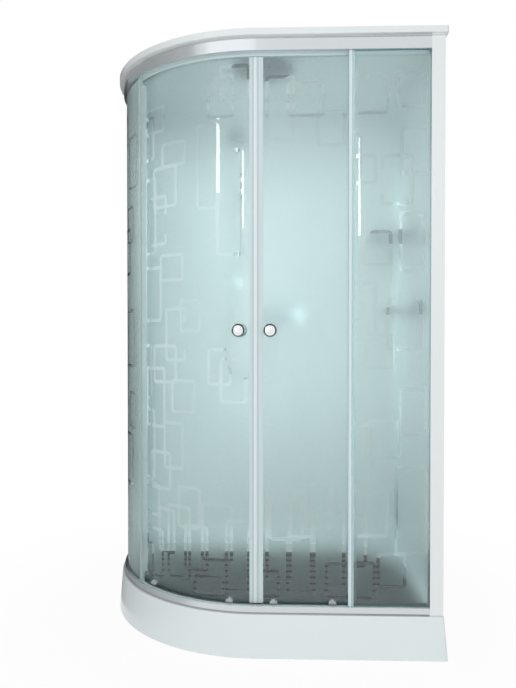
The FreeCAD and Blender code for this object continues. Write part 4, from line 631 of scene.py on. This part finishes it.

# Door knobs
# Round chromed pulls, turned from bar with a domed face; the ring round the face is chrome painted dark as a
# painted reflection.
# One pair on each door is bolted through the glass.
KNOB_HEIGHT = 1.089
INNER_KNOB_INSET = 0.0572
RING_RADIUS = 0.0172
knob_chrome = chrome("knob_chrome", (0.84, 0.86, 0.87), 0.05, 0.03)
# The ring's chrome is painted dark, a painted reflection of dark surroundings.
dark_reflection_ring = chrome("dark_reflection_ring_chrome", (0.17, 0.21, 0.22), 0.08)
KNOB_SECTION = [
    (0, 0), (11.3, 0), (11.7, 0.5), (11.5, 1.8), (10.4, 2.5), (9.2, 3.2), (8.9, 8), (9.0, 12), (10.0, 14.4),
    (13, 16), (17.2, 16.8), (19.8, 17.7), (21.4, 19), (21.95, 20.6), (21.9, 22.4), (21.4, 23.3), (20, 24.8),
    (17.4, 27.4), (16.6, 27.9), (15.6, 28.2), (14, 28.75), (11, 29.6), (8, 30.25), (5, 30.7), (2, 30.95),
    (1.5, 30.9), (1.1, 30.3), (0, 30.2),
]


def turned(name, section, foot, outward, material, segments=56):
    """A lathe piece from (radius, height) points in millimetres, standing on foot."""
    side = outward.cross(Vector((0, 0, 1))).normalized()
    other = outward.cross(side)
    points, faces = [foot + outward * section[0][1] / 1000], []
    for radius, height in section[1:-1]:
        for step in range(segments):
            turn = 2 * math.pi * step / segments
            around = side * math.cos(turn) + other * math.sin(turn)
            points.append(foot + around * radius / 1000 + outward * height / 1000)
    points.append(foot + outward * section[-1][1] / 1000)
    last = len(points) - 1
    rings = len(section) - 2
    for step in range(segments):
        following = (step + 1) % segments
        faces.append((0, 1 + step, 1 + following))
        faces.append((last, last - segments + following, last - segments + step))
        for ring in range(rings - 1):
            a, b = 1 + ring * segments + step, 1 + ring * segments + following
            faces.append((a, a + segments, b + segments, b))
    return add_piece(name, points, faces, material)


for door, length in (("left", bend(6.4)), ("right", -0.0465)):
    for face, inset, sign in (("outer", DOOR_INSET, 1), ("inner", INNER_KNOB_INSET, -1)):
        spot, outward = along_front(length, inset)
        foot = Vector((spot.x, spot.y, KNOB_HEIGHT))
        axis = Vector((outward.x, outward.y, 0)) * sign
        knob = turned(f"{door}_{face}_pull", KNOB_SECTION, foot, axis, knob_chrome)
        # Faces past RING_RADIUS take the dark chrome of the painted reflection.
        knob.data.materials.append(dark_reflection_ring)
        for part in knob.data.polygons:
            away = part.center - foot
            if (away - axis * away.dot(axis)).length > RING_RADIUS:
                part.material_index = 1
        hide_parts(f"{door}_{face}_knob")
        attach(knob, f"{door}_door")

# Roof
# A white moulded cap with a plain fascia and a raised crown, set on the rails and the walls.
# Faces that look down are painted whiter, a painted light against their shade; a white strip seals the groove
# over the top rail.
roof_white = white_acrylic("roof_white_acrylic", (0.80, 0.85, 0.855), (0.78, 0.83, 0.84), 0.18)
# Downward faces get a whiter colour: painted light that lifts the shade under the roof.
paint = Paint(roof_white.node_tree)
facing = paint.make("ShaderNodeSeparateXYZ", None, {
    0: paint.make("ShaderNodeNewGeometry", out="True Normal")}, out=2)
paint.surface({"Base Color": paint.blend((0.93, 0.965, 0.965, 1), paint.colour(), facing.limit(-0.5, -0.2))})
dress(roof_white, "roof")
soft_strip("roof_bead", STRIP_RIGHT, STRIP_LEFT, [
    (0.0138, 2.0523), (0.0112, 2.0523), (0.0098, 2.0529), (0.0076, 2.0541), (0.0054, 2.0552),
    (0.0050, 2.0557), (0.0138, 2.0557),
], milky_vinyl("milky_vinyl_roof", [], (0.90, 0.94, 0.945)))

# Overhead shower
# A wide chromed disc, pressed from sheet, with a grey face of soft nozzles.
# Its stem goes through the crown, and a brass nut on top holds it.
rain_chrome = chrome("rain_chrome", (0.70, 0.73, 0.76), 0.14)
dress(rain_chrome, "rain_head")
nozzle_grey = mottled("soft_nozzle_grey", (0.13, 0.15, 0.17), (0.19, 0.21, 0.24), 40, 0.45, 200, 0.15)
dress(nozzle_grey, "rain_plate", "spray_plate")
NOZZLE_SECTION = ((0.0026, -0.0004), (0.0022, 0.0012), (0.0015, 0.0028), (0.0007, 0.0030))
NOZZLE_SIDES = 8


def soft_nozzles(name, middle, outward, rings, material):
    """Rings of short soft cones on a spray face; rings are (radius, count) pairs."""
    side = outward.orthogonal().normalized()
    other = outward.cross(side)

    def around(step, count):
        turn = 2 * math.pi * step / count
        return side * math.cos(turn) + other * math.sin(turn)

    points, faces = [], []
    for radius, count in rings:
        for index in range(count):
            foot = middle + around(index, count) * radius
            faces += closed_tube(len(points), len(NOZZLE_SECTION), NOZZLE_SIDES)
            for wide, rise in NOZZLE_SECTION:
                for step in range(NOZZLE_SIDES):
                    points.append(foot + around(step, NOZZLE_SIDES) * wide + outward * rise)
    return add_piece(name, points, faces, material)


tip_grey = mottled("pale_nozzle_tips", (0.30, 0.33, 0.35), (0.38, 0.41, 0.43), 120, 0.5, 300, 0.15, detail=2)
plate_low, plate_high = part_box("rain_plate")
rain_middle = Vector(((plate_low.x + plate_high.x) / 2, (plate_low.y + plate_high.y) / 2, plate_low.z))
rain_nozzles = soft_nozzles(
    "rain_nozzles", rain_middle, Vector((0, 0, -1)), [(0.017 * ring, 6 * ring) for ring in range(1, 7)],
    tip_grey)
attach(rain_nozzles, "cabin")
brass, paint = new_finish("turned_brass")
paint.surface({
    "Base Color": paint.blend((0.62, 0.47, 0.22, 1), (0.74, 0.58, 0.30, 1), paint.grain(60, 3)),
    "Metallic": 1.0,
    "Roughness": 0.24 + paint.grain(1, 3, (60, 60, 900)) * 0.15,
})
dress(brass, "rain_nut")

# Hand shower
# A chromed slide bar on two brackets, screwed to the back wall.
# The slider's cradle holds the plated plastic handset with its face of soft nozzles.
bar_chrome = chrome("bar_chrome", (0.74, 0.76, 0.78), 0.16)
dress(bar_chrome, "slide_bar", "bar_brackets")
plated = chrome("plated_plastic", (0.66, 0.68, 0.70), 0.18)
dress(plated, "slider", "cradle", "hose_cone", "handset")
spray_faces = [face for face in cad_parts["spray_plate"].data.polygons if face.normal.z < -0.1]
spray_face = max(spray_faces, key=lambda face: face.area)
plate_low, plate_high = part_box("spray_plate")
spray_middle = (plate_low + plate_high) / 2
spray_middle += spray_face.normal * (spray_face.center - spray_middle).dot(spray_face.normal)
spray_nozzles = soft_nozzles(
    "spray_nozzles", spray_middle, spray_face.normal.copy(),
    [(0.0085 * ring, 6 * ring) for ring in range(1, 4)], tip_grey)
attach(spray_nozzles, "cradle")

# Mixer
# A cast bar mixer, satin-chromed, on two wall unions.
# A lever works through its swivel cap, and a diverter knob sends the water up or down.
mixer_chrome = chrome("mixer_chrome", (0.72, 0.74, 0.76), 0.18)
dress(mixer_chrome, "mixer_body", "mixer_unions", "mixer_cap", "mixer_lever", "diverter_knob", "hose_nut")

# Shower hose
# A silver ribbed hose of about 1.15 m, wound from metal strip over a soft core.
# It hangs in a loop from the mixer's nut to a short bend sleeve under the handset's cone.
HOSE_LINE = [
    (-0.140, 0.322, 1.697), (-0.1405, 0.322, 1.640), (-0.143, 0.323, 1.540), (-0.150, 0.326, 1.420),
    (-0.161, 0.330, 1.300), (-0.176, 0.334, 1.180), (-0.193, 0.338, 1.070), (-0.200, 0.341, 0.975),
    (-0.177, 0.343, 0.905), (-0.120, 0.344, 0.876), (-0.055, 0.347, 0.900), (-0.017, 0.354, 0.962),
    (-0.0065, 0.367, 1.042), (-0.006, 0.368, 1.1177),
]
HOSE_RADIUS = 0.0065
HOSE_SIDES = 14
HOSE_RIB = 0.07
SLEEVE_FOOT = 1.64
curve = bpy.data.curves.new("hose_line", "CURVE")
curve.dimensions = "3D"
curve.resolution_u = 48
spline = curve.splines.new("NURBS")
spline.points.add(len(HOSE_LINE) - 1)
for point, place in zip(spline.points, HOSE_LINE):
    point.co = (*place, 1)
spline.order_u = 3
spline.use_endpoint_u = True
carrier = bpy.data.objects.new("hose_line", curve)
line_mesh = bpy.data.meshes.new_from_object(carrier)
hose_path = [vertex.co.copy() for vertex in line_mesh.vertices]
bpy.data.objects.remove(carrier)
bpy.data.meshes.remove(line_mesh)


def hose_tube(name, line, rib, material):
    """A closed tube along a line of points, every other ring drawn in by the rib's share."""
    rings = []
    side = Vector((1, 0, 0))
    for index, place in enumerate(line):
        ahead = (line[min(index + 1, len(line) - 1)] - line[max(index - 1, 0)]).normalized()
        side = (side - ahead * side.dot(ahead)).normalized()
        other = ahead.cross(side)
        radius = HOSE_RADIUS * (1 if index % 2 else 1 - rib)
        for step in range(HOSE_SIDES):
            turn = 2 * math.pi * step / HOSE_SIDES
            rings.append(place + (side * math.cos(turn) + other * math.sin(turn)) * radius)
    return add_piece(name, rings, closed_tube(0, len(line), HOSE_SIDES), material)


hose_silver = mottled(
    "silver_hose", (0.50, 0.52, 0.54), (0.66, 0.68, 0.70), 300, 0.26, 400, 0.14, metallic=0.8, detail=2)
sleeve_grey = mottled(
    "grey_bend_sleeve", (0.34, 0.36, 0.38), (0.42, 0.44, 0.46), 160, 0.42, 300, 0.15, detail=2)
seam = next(index for index, place in enumerate(hose_path) if place.z < SLEEVE_FOOT)
hose = hose_tube("hose", hose_path[seam:], HOSE_RIB, hose_silver)
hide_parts("shower_hose")
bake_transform(hose)
sleeve = hose_tube("hose_sleeve", hose_path[:seam + 1], 0.0, sleeve_grey)
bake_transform(sleeve)

# Shelves
# Two smoky grey moulded trays with a raised lip, one over the other on the right wall.
# Screws under chromed covers hold them.
shelf_grey = mottled("smoky_shelf_plastic", (0.34, 0.38, 0.40), (0.44, 0.48, 0.50), 12, 0.22, 140, 0.12)
dress(shelf_grey, "upper_shelf", "lower_shelf")
dress(fitting_chrome, "shelf_screws")

# Studio
# A pale floor in a white room, a large soft lamp at the front left and wide fills that no gloss mirrors.
# Narrow strips shine in the clear lines, and grey cloths give metal and glass something to mirror.
FLOOR_REACH = 8
FLOOR_GLOW = 0.95
GLOW_START, GLOW_END = 0.7, 1.6
ROOM_LIGHT = 0.44
STUDIO_RAYS = ("Camera", "Glossy", "Transmission")
pale = mottled("pale_floor", (0.86, 0.86, 0.86), (0.89, 0.89, 0.89), 1.5, 0.75, 30, 0.1)
paint = Paint(pale.node_tree)
away = paint.make("ShaderNodeVectorMath", {"operation": "LENGTH"}, {0: paint.spot()}, out=1)
white_share = FLOOR_GLOW + away.limit(GLOW_START, GLOW_END) * (1 - FLOOR_GLOW)
glow = paint.make("ShaderNodeEmission", None, {"Color": (1, 1, 1, 1), "Strength": 1.0})
paint.cover(glow, paint.rays(*STUDIO_RAYS) * white_share)
floor = add_piece(
    "studio_floor",
    [(x * FLOOR_REACH, y * FLOOR_REACH, 0) for x, y in ((-1, -1), (1, -1), (1, 1), (-1, 1))],
    [(0, 1, 2, 3)], pale, smooth=False)


def soft_lamp(name, place, target, wide, high, power):
    """A rectangular lamp that the camera doesn't see."""
    lamp = bpy.data.lights.new(name, "AREA")
    lamp.shape = "RECTANGLE"
    lamp.size, lamp.size_y = wide, high
    lamp.energy = power
    holder = bpy.data.objects.new(name, lamp)
    bpy.context.scene.collection.objects.link(holder)
    holder.location = place
    holder.rotation_euler = (Vector(target) - Vector(place)).to_track_quat("-Z", "Y").to_euler()
    holder.visible_camera = False
    return holder


soft_lamp("front_softbox", (-1.35, -3.3, 2.0), (-0.3, 0, 1.6), 2.2, 3.2, 7)
soft_lamp("front_fill", (-0.9, -3.4, 2.0), (-0.2, 0, 1.6), 2.2, 3.2, 16).visible_glossy = False
soft_lamp("front_wall", (1.0, -5.0, 1.9), (0.2, 0, 1.3), 5.0, 3.6, 70).visible_glossy = False
STRIP_POWER = 23
STRIP_Y = -3.25
STRIPS = ((-2.12, 2.56, 0.19, 0.6), (-0.73, 2.18, 0.11, 0.6), (0.62, 2.15, 0.028, 0.7))
for number, (place, level, wide, high) in enumerate(STRIPS, start=1):
    soft_lamp(f"strip_{number}", (place, STRIP_Y, level), (place * 0.2, -0.4, 1.5), wide, high,
              STRIP_POWER * wide * high)
soft_lamp("left_strip", (-1.93, 0.40, 1.72), (-0.43, -0.21, 1.45), 0.09, 0.95, 1.1)
FLAG_FOOT, FLAG_TOP = 0.02, 3.6
FLOOR_FLAG_LEVEL = 0.004
TOP_FLAG_LEVEL = 3.5


def upright(start, end):
    """Corners of a cloth that hangs over the line between two places."""
    return [(*start, FLAG_FOOT), (*end, FLAG_FOOT), (*end, FLAG_TOP), (*start, FLAG_TOP)]


def flag(name, corners, low, high, through=False, axis=2, start=1.4, end=3.0):
    """A cloth that only gloss mirrors, its grey going from low to high along an axis.

    With through it is also seen through glass.
    """
    shade, paint = new_finish(name + "_cloth")
    share = paint.coordinate(axis).limit(start, end)
    paint.surface({
        "Base Color": paint.blend((low, low, low, 1), (high, high, high, 1), share),
        "Roughness": 0.9,
    })
    cloth = add_piece(name, corners, [(0, 1, 2, 3)], shade, smooth=False)
    cloth.visible_camera = False
    cloth.visible_diffuse = False
    cloth.visible_shadow = False
    cloth.visible_transmission = through


flag("left_flag", upright((-2.6, -2.3), (-2.0, 2.4)), 0.32, 0.75)
floor_places = ((-2.6, -1.2), (-0.60, -0.78), (-0.66, 2.4), (-2.6, 2.4))
flag("left_floor_flag", [(*place, FLOOR_FLAG_LEVEL) for place in floor_places], 0.99, 0.53,
     axis=1, start=-0.42, end=0.25)
flag("right_flag", upright((2.6, -1.9), (2.2, 2.4)), 0.14, 0.4)
flag("rear_flag", upright((-2.6, 1.7), (-0.72, 1.7)), 0.06, 0.1, through=True)
top_places = ((-2.0, -1.9), (2.0, -1.9), (2.0, 1.6), (-2.0, 1.6))
flag("top_flag", [(*place, TOP_FLAG_LEVEL) for place in top_places], 0.1, 0.14)

world = bpy.data.worlds.new("studio_room")
bpy.context.scene.world = world
world.use_nodes = True
room = Paint(world.node_tree)
room.fill(world.node_tree.nodes["Background"], {
    "Color": (1, 1, 1, 1), "Strength": ROOM_LIGHT + room.rays(*STUDIO_RAYS) * (1 - ROOM_LIGHT)})

# Camera
# It stands a little right of the cabin's middle at about half its height, nearly level.
# It looks slightly to the left, like the photo's view.
lens = bpy.data.cameras.new("camera")
lens.lens = 36.25
lens.sensor_width = 36
camera = bpy.data.objects.new("camera", lens)
bpy.context.scene.collection.objects.link(camera)
camera.location = (0.0505, -2.7227, 1.0810)
camera.rotation_euler = (math.radians(90 - 0.93), 0, math.radians(1.89))
bpy.context.scene.camera = camera
bpy.context.scene.view_settings.view_transform = "Standard"
